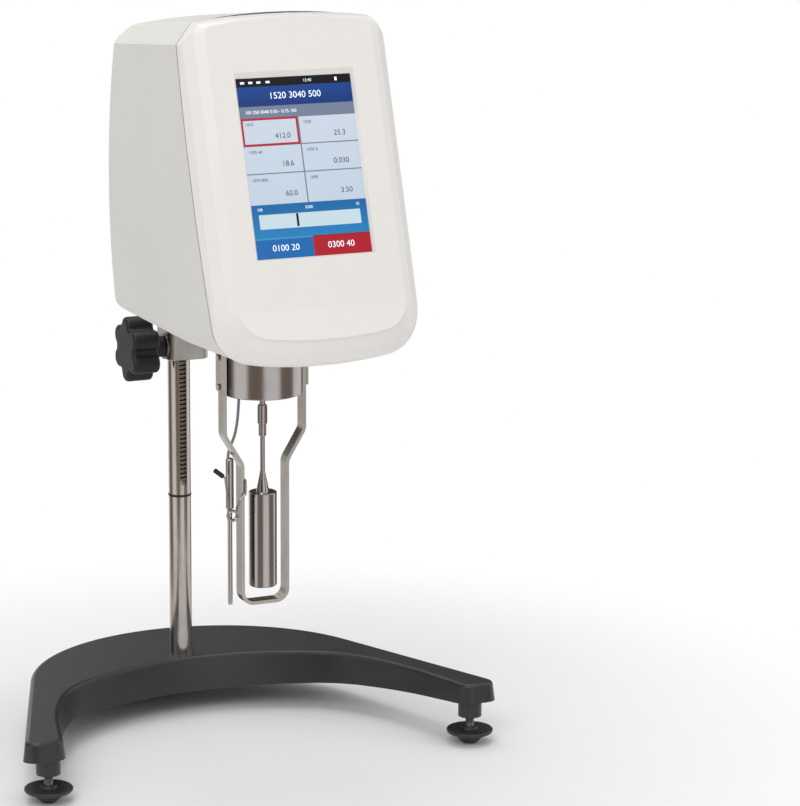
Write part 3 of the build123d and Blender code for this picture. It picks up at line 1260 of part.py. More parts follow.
def make_mounting_rod():
    start = ROD_Y - CHASSIS_REAR - REAR_BLOCK_DEPTH + 4
    end = ROD_Y - ARM_SOCKET_BACK - 1
    rod = cylinder_y(MOUNT_ROD_RADIUS, start, end, 0, ARM_AXIS_Z)
    return chamfer(rod.edges().sort_by(Axis.Y)[-1], 0.8)


# Rear panel


def panel_y():
    """Outer face of the connector plate."""
    return ROD_Y - HEAD_REAR - 2.0


def make_connector_plate(inner):
    outside = panel_y()
    half_x = PANEL_PLATE_WIDTH / 2 - SHELL_GAP / 2
    half_z = PANEL_PLATE_HEIGHT / 2 - SHELL_GAP / 2
    z = PANEL_PLATE_Z
    plate = block((-half_x, half_x), (outside - PANEL_PLATE_THICKNESS, outside), (z - half_z, z + half_z))
    flange = block((-half_x - 4, half_x + 4), (outside - 5, outside), (z - half_z - 4, z + half_z + 4))
    flange = flange & inner
    core_x = half_x - 4
    core_z = half_z - 3
    depth = (outside - 10, outside - PANEL_PLATE_THICKNESS)
    core = block((-core_x, core_x), depth, (z - core_z, z + core_z))
    panel = plate + flange - core
    panel -= cylinder_y(INLET_RADIUS, outside - 12, outside + 1, INLET_X, z)
    panel -= switch_opening(0)
    for x in USB_X:
        panel -= usb_outline(x, outside - 12, outside + 1)
    return panel


def switch_opening(margin):
    outside = panel_y()
    half_x = SWITCH_WIDTH / 2 - margin
    half_z = SWITCH_HEIGHT / 2 - margin
    z = PANEL_PLATE_Z
    width = (SWITCH_X - half_x, SWITCH_X + half_x)
    return block(width, (outside - 20, outside + 3), (z - half_z, z + half_z))


def usb_outline(x, start, end):
    half = USB_WIDTH / 2
    z = PANEL_PLATE_Z
    return block((x - half, x + half), (start, end), (z - USB_HEIGHT / 2, z + USB_HEIGHT / 2))


def make_power_inlet():
    outside = panel_y()
    z = PANEL_PLATE_Z
    body = cylinder_y(INLET_RADIUS, outside - INLET_DEPTH, outside + 0.8, INLET_X, z)
    body -= cylinder_y(INLET_BORE_RADIUS, outside - INLET_DEPTH + 3, outside + 2, INLET_X, z)
    return body + cylinder_y(1.0, outside - INLET_DEPTH + 2, outside - 1, INLET_X, z)


def make_switch_housing():
    outside = panel_y()
    z = PANEL_PLATE_Z
    half_x = SWITCH_WIDTH / 2
    half_z = SWITCH_HEIGHT / 2
    low_x = SWITCH_X - half_x
    high_x = SWITCH_X + half_x
    body = block((low_x, high_x), (outside - SWITCH_DEPTH, outside), (z - half_z, z + half_z))
    rim = block((low_x - 1, high_x + 1), (outside, outside + 1.2), (z - half_z - 1, z + half_z + 1))
    body += rim
    room_x = half_x - 1.5
    room_z = half_z - 1.5
    width = (SWITCH_X - room_x, SWITCH_X + room_x)
    room = block(width, (outside - 9, outside + 5), (z - room_z, z + room_z))
    body -= room
    pin = cylinder_x(ROCKER_PIN_RADIUS, SWITCH_X - half_x + 0.5, SWITCH_X + half_x - 0.5, rocker_y(), z)
    return body + pin


def rocker_y():
    return panel_y() - 3.0


def make_power_rocker():
    z = PANEL_PLATE_Z
    half_x = SWITCH_WIDTH / 2 - 1.5 - ROCKER_CLEARANCE
    half_z = SWITCH_HEIGHT / 2 - 1.5 - 1.2
    crest = rocker_y() + 5.2
    outline = Polyline(
        (rocker_y() - 2.5, z - 3.0),
        (rocker_y() - 2.5, z + 3.0),
        (rocker_y() + 0.5, z + half_z),
        (crest, z + half_z),
        (crest - 1.4, z),
        (crest, z - half_z),
        (rocker_y() + 0.5, z - half_z),
        close=True,
    )
    rocker = extrude(Plane.YZ * make_face(outline), amount=half_x, both=True)
    rocker = Pos(SWITCH_X, 0, 0) * rocker
    rocker -= cylinder_x(ROCKER_PIN_RADIUS + SHAFT_CLEARANCE, SWITCH_X - 20, SWITCH_X + 20, rocker_y(), z)
    return rocker.rotate(Axis((0, rocker_y(), z), (1, 0, 0)), ROCKER_TILT)


def make_usb_sockets():
    outside = panel_y()
    z = PANEL_PLATE_Z
    sockets = []
    for x in USB_X:
        shell = usb_outline(x, outside - USB_DEPTH, outside + 0.6)
        half = USB_WIDTH / 2 - 0.5
        room = block((x - half, x + half), (outside - USB_DEPTH + 1, outside + 2), (z - 2.4, z + 2.4))
        tongue_half = half - 0.3
        depth = (outside - USB_DEPTH + 0.5, outside - 2)
        tongue = block((x - tongue_half, x + tongue_half), depth, (z + 0.2, z + 1.8))
        sockets.append(shell - room + tongue)
    return Compound(children=sockets)


def build_parts():
    outer = head_form()
    inner = head_form(SHELL_WALL)
    return {
        "base_casting": make_base(),
        "upright_rod": make_rod(),
        "lift_rack": make_rack(),
        "rod_stop_ring": make_stop_ring(),
        "rod_fixing_screw": make_rod_fixing_screw(),
        "rod_washer": make_rod_washer(),
        "rear_foot": make_rear_foot(),
        "levelling_screw_left": make_levelling_screw(-1),
        "foot_pad_left": make_foot_pad(-1),
        "levelling_screw_right": make_levelling_screw(1),
        "foot_pad_right": make_foot_pad(1),
        "clamp_body": make_clamp(),
        "pinion_bush": make_pinion_bush(),
        "tension_insert": make_tension_insert(),
        "tension_screw": make_tension_screw(),
        "lock_screw": make_lock_screw(),
        "pinion_shaft": make_pinion_shaft(),
        "lift_knob": make_lift_knob(),
        "mounting_rod": make_mounting_rod(),
        "head_chassis": make_chassis(),
        "rear_shell": make_rear_shell(outer, inner),
        "front_bezel": make_front_bezel(outer, inner),
        "shell_screws": make_shell_screws(),
        "display_glass": make_display_glass(),
        "display_gasket": make_display_gasket(),
        "lcd_panel": make_lcd_panel(),
        "main_board": make_main_board(),
        "frame_pillars": make_frame_pillars(),
        "bearing_plate": make_bearing_plate(),
        "shaft_bearings": make_shaft_bearings(),
        "stepper_motor": make_stepper_motor(),
        "drive_pinion": make_drive_pinion(),
        "drive_gear": make_drive_gear(),
        "drive_shaft": make_drive_shaft(),
        "spring_housing": make_spring_housing(),
        "torque_spring": make_torque_spring(),
        "pivot_cup": make_pivot_cup(),
        "cup_screws": make_cup_screws(),
        "jewel_bearing": make_jewel_bearing(),
        "pivot_shaft": make_pivot_shaft(),
        "coupling_nut": make_coupling_nut(),
        "spindle": make_spindle(),
        "guard_leg": make_guard_leg(),
        "guard_brackets": make_guard_brackets(),
        "guard_screws": make_guard_screws(),
        "temperature_probe": make_temperature_probe(),
        "probe_sleeve": make_probe_sleeve(),
        "probe_clip": make_probe_clip(),
        "clip_lever": make_clip_lever(),
        "clip_grip": make_clip_grip(),
        "probe_lead": make_probe_lead(),
        "lead_gland": make_lead_gland(),
        "connector_plate": make_connector_plate(inner),
        "power_inlet": make_power_inlet(),
        "switch_housing": make_switch_housing(),
        "power_rocker": make_power_rocker(),
        "usb_sockets": make_usb_sockets(),
    }


def main():
    os.makedirs("parts", exist_ok=True)
    for name, solid in build_parts().items():
        export_step(solid, f"parts/{name}.step")


if __name__ == "__main__":
    main()
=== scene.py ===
"""Looks of the rotational viscometer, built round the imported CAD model."""

from math import cos, pi, radians, sin

import bmesh
import bpy
from mathutils import Matrix, Vector


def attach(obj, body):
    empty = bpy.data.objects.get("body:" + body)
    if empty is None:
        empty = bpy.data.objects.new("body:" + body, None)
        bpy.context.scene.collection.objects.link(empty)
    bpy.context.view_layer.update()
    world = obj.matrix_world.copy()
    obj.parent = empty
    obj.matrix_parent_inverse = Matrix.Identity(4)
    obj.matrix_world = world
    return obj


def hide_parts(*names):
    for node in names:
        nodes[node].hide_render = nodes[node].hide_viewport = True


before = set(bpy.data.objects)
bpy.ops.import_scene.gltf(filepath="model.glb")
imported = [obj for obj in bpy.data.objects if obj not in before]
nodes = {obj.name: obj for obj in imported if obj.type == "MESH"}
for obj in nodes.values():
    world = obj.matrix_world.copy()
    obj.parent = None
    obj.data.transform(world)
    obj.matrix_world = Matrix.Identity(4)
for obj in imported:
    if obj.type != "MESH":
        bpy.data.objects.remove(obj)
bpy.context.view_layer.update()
MM = 0.001
WHITE = (1.0, 1.0, 1.0, 1.0)
BLACK = (0.0, 0.0, 0.0, 1.0)

# Places on the instrument, in millimetres
ROD_Y = 100.35
SPINDLE_Y = ROD_Y - 156.0
FACE_TILT = radians(18.4)
FACE_Y = ROD_Y - 211.5
FACE_Z = 482.6
SCREEN_W = 79.4
SCREEN_H = 116.3
GLASS_DEPTH = 3.0
SEAM_DEPTH = 17.0
SEAM_LINE = 0.55  # half the seam's width
NUT_MIDDLE_Z = 249.2


def put_in_scene(name, data):
    """New object that holds the data, linked to the scene."""
    holder = bpy.data.objects.new(name, data)
    bpy.context.scene.collection.objects.link(holder)
    return holder


# Camera

CAMERA_PLACE = (-830.4, ROD_Y - 2183.7, 756.4)
CAMERA_AZIMUTH = radians(24.67)
CAMERA_ELEVATION = radians(12.84)
CAMERA_ROLL = radians(-0.35)
FOCAL_PIXELS = 3369.1
PHOTO_WIDTH = 800
SENSOR = 36


def make_camera():
    """Camera at the photograph's place and angle."""
    across = (sin(CAMERA_AZIMUTH), cos(CAMERA_AZIMUTH))
    level = cos(CAMERA_ELEVATION)
    forward = Vector((across[0] * level, across[1] * level, -sin(CAMERA_ELEVATION)))
    flat_right = Vector((across[1], -across[0], 0))
    flat_down = forward.cross(flat_right)
    right = cos(CAMERA_ROLL) * flat_right + sin(CAMERA_ROLL) * flat_down
    down = -sin(CAMERA_ROLL) * flat_right + cos(CAMERA_ROLL) * flat_down
    camera = bpy.data.cameras.new("camera")
    camera.sensor_fit = "HORIZONTAL"
    camera.sensor_width = SENSOR
    camera.lens = FOCAL_PIXELS * SENSOR / PHOTO_WIDTH
    camera.clip_start = 0.05
    camera.clip_end = 50
    holder = put_in_scene("camera", camera)
    turn = Matrix((right, -down, -forward)).transposed().to_4x4()
    holder.matrix_world = Matrix.Translation(Vector(CAMERA_PLACE) * MM) @ turn
    bpy.context.scene.camera = holder


make_camera()


# Shader helpers


def linear(red, green, blue):
    """Scene colour of an 8-bit display colour."""
    shares = (red / 255, green / 255, blue / 255)
    done = [c / 12.92 if c * 255 <= 10 else ((c + 0.055) / 1.055) ** 2.4 for c in shares]
    return (*done, 1.0)


def dimmed(color, share):
    """The colour at a share of its brightness."""
    return (color[0] * share, color[1] * share, color[2] * share, 1.0)


def plug(tree, value, target):
    """Link a value or an output to a socket, or set the socket to a number, colour or vector."""
    if isinstance(value, Value):
        tree.links.new(value.socket, target)
    elif isinstance(value, bpy.types.NodeSocket):
        tree.links.new(value, target)
    else:
        target.default_value = value


def add_node(tree, kind, settings=None, sockets=None):
    """New node of a kind, with its settings first and then the values or links of its sockets."""
    node = tree.nodes.new(kind)
    for name, value in (settings or {}).items():
        setattr(node, name, value)
    for place, value in (sockets or {}).items():
        plug(tree, value, node.inputs[place])
    return node


def mixed(tree, share, first, second, settings=None):
    """Colour between first and second."""
    kinds = {"data_type": "RGBA", **(settings or {})}
    node = add_node(tree, "ShaderNodeMix", kinds, {"Factor": share, 6: first, 7: second})
    return Value(tree, node.outputs[2])


class Value:
    """A shader socket that takes part in sums, products and comparisons."""

    def __init__(self, tree, socket):
        self.tree = tree
        self.socket = socket

    def _math(self, kind, *items):
        node = add_node(self.tree, "ShaderNodeMath", {"operation": kind}, dict(enumerate(items)))
        return Value(self.tree, node.outputs[0])

    def __add__(self, other):
        return self._math("ADD", self, other)

    def __sub__(self, other):
        return self._math("SUBTRACT", self, other)

    def __rsub__(self, other):
        return self._math("SUBTRACT", other, self)

    def __mul__(self, other):
        return self._math("MULTIPLY", self, other)

    def __truediv__(self, other):
        return self._math("DIVIDE", self, other)

    def __gt__(self, other):
        return self._math("GREATER_THAN", self, other)

    def __lt__(self, other):
        return self._math("LESS_THAN", self, other)

    def __abs__(self):
        return self._math("ABSOLUTE", self)

    __radd__ = __add__
    __rmul__ = __mul__

    def wave(self):
        return self._math("SINE", self)

    def most(self, other):
        return self._math("MAXIMUM", self, other)

    def angle_with(self, other):
        return self._math("ARCTAN2", self, other)

    def between(self, low, high):
        return (self > low) * (self < high)

    def ramp(self, low, high):
        """0 below low, 1 above high, smooth between."""
        sockets = {"Value": self, "From Min": low, "From Max": high}
        node = add_node(self.tree, "ShaderNodeMapRange", {"interpolation_type": "SMOOTHSTEP"}, sockets)
        return Value(self.tree, node.outputs["Result"])


class Finish:
    """A material under construction, in metres of the instrument's own frame."""

    def __init__(self, name, color=(0.5, 0.5, 0.5, 1), roughness=0.5, metallic=0.0):
        self.material = bpy.data.materials.new(name)
        self.material.use_nodes = True
        self.tree = self.material.node_tree
        self.shader = self.tree.nodes["Principled BSDF"]
        self.put("Base Color", color)
        self.put("Roughness", roughness)
        self.put("Metallic", metallic)
        self.place = self.node("ShaderNodeTexCoord").outputs["Object"]
        split = self.node("ShaderNodeSeparateXYZ", sockets={0: self.place})
        self.x, self.y, self.z = (Value(self.tree, out) for out in split.outputs)

    def node(self, kind, settings=None, sockets=None):
        return add_node(self.tree, kind, settings, sockets)

    def put(self, name, value):
        plug(self.tree, value, self.shader.inputs[name])

    def noise(self, scale, detail=3.0, stretch=(1, 1, 1)):
        """Noise about 1/scale metres in size, drawn out along an axis with a small stretch."""
        mapping = self.node("ShaderNodeMapping", sockets={"Scale": stretch, "Vector": self.place})
        sockets = {"Scale": scale, "Detail": detail, "Roughness": 0.55, "Vector": mapping.outputs["Vector"]}
        return Value(self.tree, self.node("ShaderNodeTexNoise", sockets=sockets).outputs["Fac"])

    def mix(self, share, first, second):
        return mixed(self.tree, share, first, second)

    def bump(self, height, distance):
        """Relief of that height in metres."""
        node = self.node("ShaderNodeBump", sockets={"Distance": distance, "Strength": 1.0, "Height": height})
        self.put("Normal", node.outputs["Normal"])

    def rounded_edges(self, size=0.0006):
        """1 along rounded edges, 0 on flats."""
        rounded = self.node("ShaderNodeBevel", {"samples": 4}, {"Radius": size}).outputs[0]
        flat = self.node("ShaderNodeNewGeometry").outputs["Normal"]
        dot = self.node("ShaderNodeVectorMath", {"operation": "DOT_PRODUCT"}, {0: rounded, 1: flat})
        return (1 - Value(self.tree, dot.outputs["Value"])).ramp(0.01, 0.12)


def face_depth(finish):
    """Distance behind the head's front face, in metres."""
    return (finish.y - FACE_Y * MM) * cos(FACE_TILT) - (finish.z - FACE_Z * MM) * sin(FACE_TILT)


def plastic(name, color, roughness, grain, depth, shade=0.96, coat=0.0, seam_shade=False):
    """Moulded plastic: fine grain, faint cloudiness and a little gloss variation, and a dark line along the
    seam that is painted shade of its gap.
    """
    finish = Finish(name, color, roughness)
    cloud = finish.noise(9, 3)
    surface = finish.mix(cloud.ramp(0.3, 0.75), color, dimmed(color, shade))
    if seam_shade:
        # Painted shade: a dark grey line at the seam's depth stands for the shadow in the gap between bezel
        # and shell.
        gap = abs(face_depth(finish) - SEAM_DEPTH * MM)
        surface = finish.mix((SEAM_LINE * MM - gap).ramp(0, 0.0002), surface, linear(70, 70, 70))
    finish.put("Base Color", surface)
    fine = finish.noise(grain, 2)
    finish.put("Roughness", finish.noise(60, 2) * 0.1 + (roughness - 0.05) + fine * 0.04)
    finish.bump(fine, depth)
    finish.put("Coat Weight", coat)
    return finish.material


def steel(name, color, roughness, streak, scale=1500, depth=0.00001, dark=0.75):
    """Worked steel: lines left by turning, grinding or drawing, and faint stains."""
    finish = Finish(name, color, roughness, 1.0)
    lines = finish.noise(scale, 3, streak)
    stain = finish.noise(45, 4).ramp(0.45, 0.75)
    finish.put("Base Color", finish.mix(stain * 0.45 + lines * 0.2, color, dimmed(color, dark)))
    finish.put("Roughness", lines * 0.16 + (roughness - 0.06) + stain * 0.06)
    finish.bump(lines, depth)
    return finish.material


def screw_thread(name, color, pitch):
    """Steel with a turned thread along Z, its grooves darkened with painted shade."""
    finish = Finish(name, metallic=1.0)
    turn = (finish.z * (2 * pi / pitch)).wave()
    # Painted shade: the colour falls to 45 percent of the steel's in the thread's grooves.
    finish.put("Base Color", finish.mix(turn.ramp(-0.8, 0.6), dimmed(color, 0.45), color))
    finish.put("Roughness", finish.noise(900, 2) * 0.15 + 0.2)
    finish.bump(turn, 0.00025)
    return finish.material


def cast_paint():
    """Satin paint over cast iron, with a slight orange peel and a painted highlight that lightens its
    rounded edges.
    """
    finish = Finish("cast_paint")
    peel = finish.noise(420, 3)
    broad = finish.noise(14, 4)
    color = finish.mix(broad.ramp(0.3, 0.7), linear(29, 29, 32), linear(38, 38, 41))
    # Painted highlight: rounded edges are lightened towards grey 80.
    finish.put("Base Color", finish.mix(finish.rounded_edges() * 0.3, color, linear(80, 80, 82)))
    finish.put("Roughness", peel * 0.14 + 0.34 + broad * 0.06)
    finish.bump(peel, 0.00006)
    finish.put("Coat Weight", 0.12)
    return finish.material


def cast_alloy():
    """Cast aluminium, lightly blasted, with machined edges."""
    finish = Finish("cast_alloy", metallic=1.0)
    grain = finish.noise(700, 4)
    broad = finish.noise(40, 3)
    color = finish.mix(broad.ramp(0.35, 0.7), linear(168, 166, 162), linear(190, 188, 184))
    finish.put("Base Color", finish.mix(finish.rounded_edges() * 0.5, color, linear(220, 219, 216)))
    finish.put("Roughness", grain * 0.2 + 0.3)
    finish.bump(grain, 0.00005)
    return finish.material


def brass():
    """Brass, worn a little browner in patches."""
    finish = Finish("brass", metallic=1.0)
    worn = finish.noise(160, 4)
    finish.put("Base Color", finish.mix(worn.ramp(0.35, 0.7), linear(196, 160, 96), linear(158, 122, 66)))
    finish.put("Roughness", worn * 0.2 + 0.2)
    finish.bump(finish.noise(1200, 2), 0.00001)
    return finish.material


TRACE_PITCH = 0.004


def board():
    """Circuit board: green mask with traces and pads."""
    finish = Finish("board")
    mask_green = linear(20, 84, 48)
    grid_x = (finish.x * (2 * pi / TRACE_PITCH)).wave()
    grid_z = (finish.z * (2 * pi / TRACE_PITCH)).wave()
    trace = grid_x.between(0.86, 2).most(grid_z.between(0.9, 2)) * finish.noise(220, 1).between(0.5, 2)
    pad = grid_x.between(0.8, 2) * grid_z.between(0.8, 2)
    color = finish.mix(trace, mask_green, linear(40, 120, 66))
    finish.put("Base Color", finish.mix(pad, color, linear(190, 180, 130)))
    finish.put("Roughness", finish.noise(300, 2) * 0.2 + 0.3)
    finish.bump(trace, 0.00004)
    return finish.material


def face_matrix(depth):
    """Places the plane of (right, up the face, outwards), whose origin is at the screen's top edge."""
    up = Vector((0, sin(FACE_TILT), cos(FACE_TILT)))
    out = Vector((0, -cos(FACE_TILT), sin(FACE_TILT)))
    origin = (Vector((0, FACE_Y, FACE_Z)) - out * depth) * MM
    turn = Matrix((Vector((1, 0, 0)), up, out)).transposed().to_4x4()
    return Matrix.Translation(origin) @ turn


# Rows of the display, as shares of its height from the top
STATUS_END = 0.048
TITLE_END = 0.157
STRIP_END = 0.222
ROW_LINES = (0.222, 0.375, 0.53)
CELLS_END = 0.7
SCALE_END = 0.885
CURSOR_START = 0.38
CURSOR_END = 0.4


def screen():
    """Lit display under its cover: bars, six cells, a scale and two buttons."""
    finish = Finish("screen")
    across = finish.x / (SCREEN_W * MM) + 0.5
    rise = (finish.y - FACE_Y * MM) * sin(FACE_TILT) + (finish.z - FACE_Z * MM) * cos(FACE_TILT)
    down = rise * (-1 / (SCREEN_H * MM))
    color = finish.mix(down.ramp(0.0, 1.0), linear(220, 232, 246), linear(206, 222, 240))

    def paint(mask, shade):
        nonlocal color
        color = finish.mix(mask, color, shade)

    line = linear(120, 132, 148)
    for height in ROW_LINES:
        paint(down.between(height - 0.003, height + 0.003), line)
    paint(across.between(0.495, 0.505) * down.between(STRIP_END, CELLS_END), line)
    frame_outside = across.between(0.005, 0.495) * down.between(0.222, 0.376)
    frame_inside = across.between(0.022, 0.478) * down.between(0.234, 0.364)
    paint(frame_outside - frame_inside, linear(196, 44, 60))
    paint(down < STRIP_END, linear(126, 140, 164))
    title = finish.mix(down.ramp(0.05, TITLE_END), linear(26, 74, 152), linear(22, 60, 132))
    paint(down < TITLE_END, title)
    paint(down < STATUS_END, linear(10, 12, 18))
    scale = finish.mix(down.ramp(CELLS_END, SCALE_END), linear(28, 112, 178), linear(40, 136, 200))
    paint(down > CELLS_END, scale)
    paint(across.between(0.06, 0.94) * down.between(0.755, 0.835), linear(214, 236, 246))
    paint(across.between(CURSOR_START, CURSOR_END) * down.between(0.757, 0.828), linear(12, 20, 30))
    right_half = across > 0.5
    paint(down > SCALE_END, finish.mix(right_half, linear(26, 112, 186), linear(188, 26, 44)))
    button_edge = finish.mix(right_half, linear(70, 160, 216), linear(160, 30, 50))
    paint(down.between(SCALE_END, SCALE_END + 0.008), button_edge)
    outside = (down < 0).most(down > 1).most(across < 0).most(across > 1)
    paint(outside, linear(16, 17, 20))
    finish.put("Base Color", finish.mix(0.75, color, BLACK))
    finish.put("Emission Color", color)
    finish.put("Emission Strength", 0.62)
    finish.put("Coat Weight", 0.1)
    finish.put("Specular IOR Level", 0.3)
    finish.put("Roughness", finish.noise(30, 3) * 0.06 + 0.09)
    return finish.material


DOT_PITCH = 0.0004


def ink(name, color):
    """Lit marks on the display, with the faint grid of its dots."""
    finish = Finish(name)
    dots = (finish.x * (2 * pi / DOT_PITCH)).wave() * 0.04 + 0.96
    lit = finish.mix(dots, BLACK, color)
    finish.put("Base Color", lit)
    finish.put("Emission Color", lit)
    finish.put("Emission Strength", 0.55)
    finish.put("Roughness", finish.noise(400, 1) * 0.1 + 0.3)
    return finish.material


made = {
    "shell": plastic("shell", linear(224, 222, 216), 0.46, 1700, 0.00003, seam_shade=True),
    "bezel": plastic("bezel", linear(232, 229, 224), 0.36, 2100, 0.000012, 0.98, 0.08, True),
    "knob": plastic("knob", linear(18, 19, 22), 0.5, 1300, 0.00004, 0.8),
    "foot": plastic("foot", linear(38, 39, 42), 0.42, 1200, 0.00003, 0.85),
    "rubber": plastic("rubber", linear(34, 34, 36), 0.7, 900, 0.00005, 0.8),
    "nylon": plastic("nylon", linear(222, 218, 200), 0.5, 1200, 0.00002, 0.92),
    "socket": plastic("socket", linear(36, 37, 40), 0.45, 1200, 0.00002, 0.85),
    "panel": plastic("panel", linear(120, 122, 125), 0.45, 900, 0.00004, 0.9),
    "lead": plastic("lead", linear(150, 152, 156), 0.5, 1500, 0.00002, 0.9),
    "jewel": plastic("jewel", linear(150, 20, 48), 0.12, 500, 0.000005, 0.8, 0.5),
    "motor": plastic("motor", linear(34, 35, 38), 0.4, 700, 0.00003, 0.8),
    "rod": steel("rod", linear(190, 182, 176), 0.13, (1, 1, 0.08), depth=0.000003),
    "turned": steel("turned", linear(178, 172, 170), 0.15, (0.05, 0.05, 1), 2600, 0.000002, 0.85),
    "strip": steel("strip", linear(176, 171, 165), 0.24, (1, 1, 0.08), 1800, 0.000001, 0.85),
    "bright": steel("bright", linear(172, 164, 156), 0.12, (0.2, 0.2, 1), 2000, 0.000002),
    # Painted shade: the rack's steel is darker than the other steels, standing for the shade in the rack's
    # groove.
    "rack": steel("rack", linear(126, 118, 110), 0.3, (1, 1, 0.2), 1500),
    "spring": steel("spring", linear(96, 102, 124), 0.25, (1, 1, 0.2), 1500),
    "thread": screw_thread("thread", linear(190, 187, 182), 0.00125),
    "iron": cast_paint(),
    "alloy": cast_alloy(),
    "brass": brass(),
    "board": board(),
    "screen": screen(),
    "ink_dark": ink("ink_dark", linear(24, 34, 50)),
    "ink_pale": ink("ink_pale", linear(222, 232, 244)),
}
WORN_BY = {
    "iron": ("base_casting",),
    "rod": ("upright_rod", "mounting_rod", "temperature_probe"),
    "rack": ("lift_rack", "pinion_bush"),
    "rubber": ("rod_stop_ring", "rear_foot", "display_gasket", "clip_grip"),
    "turned": (
        "rod_fixing_screw",
        "rod_washer",
        "tension_screw",
        "shell_screws",
        "pivot_cup",
        "cup_screws",
        "coupling_nut",
        "spindle",
        "guard_screws",
    ),
    "thread": ("levelling_screw_left", "levelling_screw_right"),
    "foot": ("foot_pad_left", "foot_pad_right"),
    "alloy": ("clamp_body", "head_chassis", "frame_pillars", "bearing_plate", "spring_housing"),
    "nylon": ("tension_insert",),
    "knob": ("lock_screw", "lift_knob"),
    "strip": ("pinion_shaft", "guard_leg", "guard_brackets", "probe_sleeve"),
    "shell": ("rear_shell",),
    "bezel": ("front_bezel",),
    "screen": ("display_glass",),
    "socket": ("lcd_panel", "lead_gland", "power_inlet", "switch_housing", "power_rocker"),
    "board": ("main_board",),
    "bright": ("shaft_bearings", "drive_shaft", "pivot_shaft", "probe_clip", "clip_lever", "usb_sockets"),
    "motor": ("stepper_motor",),
    "brass": ("drive_pinion", "drive_gear"),
    "spring": ("torque_spring",),
    "jewel": ("jewel_bearing",),
    "lead": ("probe_lead",),
    "panel": ("connector_plate",),
}
for finish_name, node_names in WORN_BY.items():
    for node_name in node_names:
        mesh = nodes[node_name].data
        mesh.materials.clear()
        mesh.materials.append(made[finish_name])
        for face in mesh.polygons:
            face.material_index = 0


# Probe lead, one smooth cord along the corner points of its route

LEAD_DIAMETER = 0.002
LEAD_ROUTE = [
    (-23.7, 2.9, 219.0),
    (-20.0, 13.0, 222.5),
    (-9.0, 25.0, 231.0),
    (-4.6, 30.0, 252.0),
    (-2.9, 34.7, 280.0),
    (-1.1, 38.2, 308.0),
]


def make_lead():
    curve = bpy.data.curves.new("probe_lead_cord", "CURVE")
    curve.dimensions = "3D"
    curve.bevel_depth = LEAD_DIAMETER / 2
    curve.bevel_resolution = 4
    curve.resolution_u = 16
    curve.use_fill_caps = True
    spline = curve.splines.new("NURBS")
    spline.points.add(len(LEAD_ROUTE) - 1)
    for point, (x, behind, z) in zip(spline.points, LEAD_ROUTE):
        point.co = (x * MM, (SPINDLE_Y + behind) * MM, z * MM, 1)
    spline.order_u = 3
    spline.use_endpoint_u = True
    curve.materials.append(made["lead"])
    lead = put_in_scene("probe_lead_cord", curve)
    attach(lead, "head")
    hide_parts("probe_lead")


make_lead()


# Marks on the display

LETTER_SIZE = 1.35  # font size of digits that are 1 high
MARK_STAND = 0.00002  # how far digits stand off the glass
STROKE_STAND = 0.00003

def add_piece(name, mesh, body, finish):
    """Piece that rides a body of the instrument, in one finish."""
    piece = put_in_scene(name, mesh)
    mesh.materials.clear()
    mesh.materials.append(finish)
    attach(piece, body)


def digits(text, x, down, height, align="RIGHT"):
    """Mesh of a number on the display; x and down are shares of the screen, height is in millimetres."""
    curve = bpy.data.curves.new("digits", "FONT")
    curve.body = text
    curve.size = height * MM * LETTER_SIZE
    curve.align_x = align
    curve.align_y = "CENTER"
    curve.extrude = 0.00001
    holder = put_in_scene("digits", curve)
    mesh = bpy.data.meshes.new_from_object(holder)
    bpy.data.objects.remove(holder)
    mesh.transform(Matrix.Translation(((x - 0.5) * SCREEN_W * MM, -down * SCREEN_H * MM, MARK_STAND)))
    return mesh


def strokes(places):
    """Mesh of small flat bars on the display: x, down, width and height as shares of the screen."""
    work = bmesh.new()
    for x, down, width, height in places:
        made_bar = bmesh.ops.create_grid(work, x_segments=1, y_segments=1, size=0.5)
        scale = Matrix.Diagonal((width * SCREEN_W * MM, height * SCREEN_H * MM, 1, 1))
        centre = Vector(((x + width / 2 - 0.5) * SCREEN_W * MM, -down * SCREEN_H * MM, STROKE_STAND))
        bmesh.ops.transform(work, matrix=Matrix.Translation(centre) @ scale, verts=made_bar["verts"])
    mesh = bpy.data.meshes.new("strokes")
    work.to_mesh(mesh)
    work.free()
    return mesh


def joined(name, meshes):
    """One mesh of them all, laid on the display's glass."""
    work = bmesh.new()
    for mesh in meshes:
        work.from_mesh(mesh)
    result = bpy.data.meshes.new(name)
    work.to_mesh(result)
    work.free()
    result.transform(face_matrix(GLASS_DEPTH))
    return result


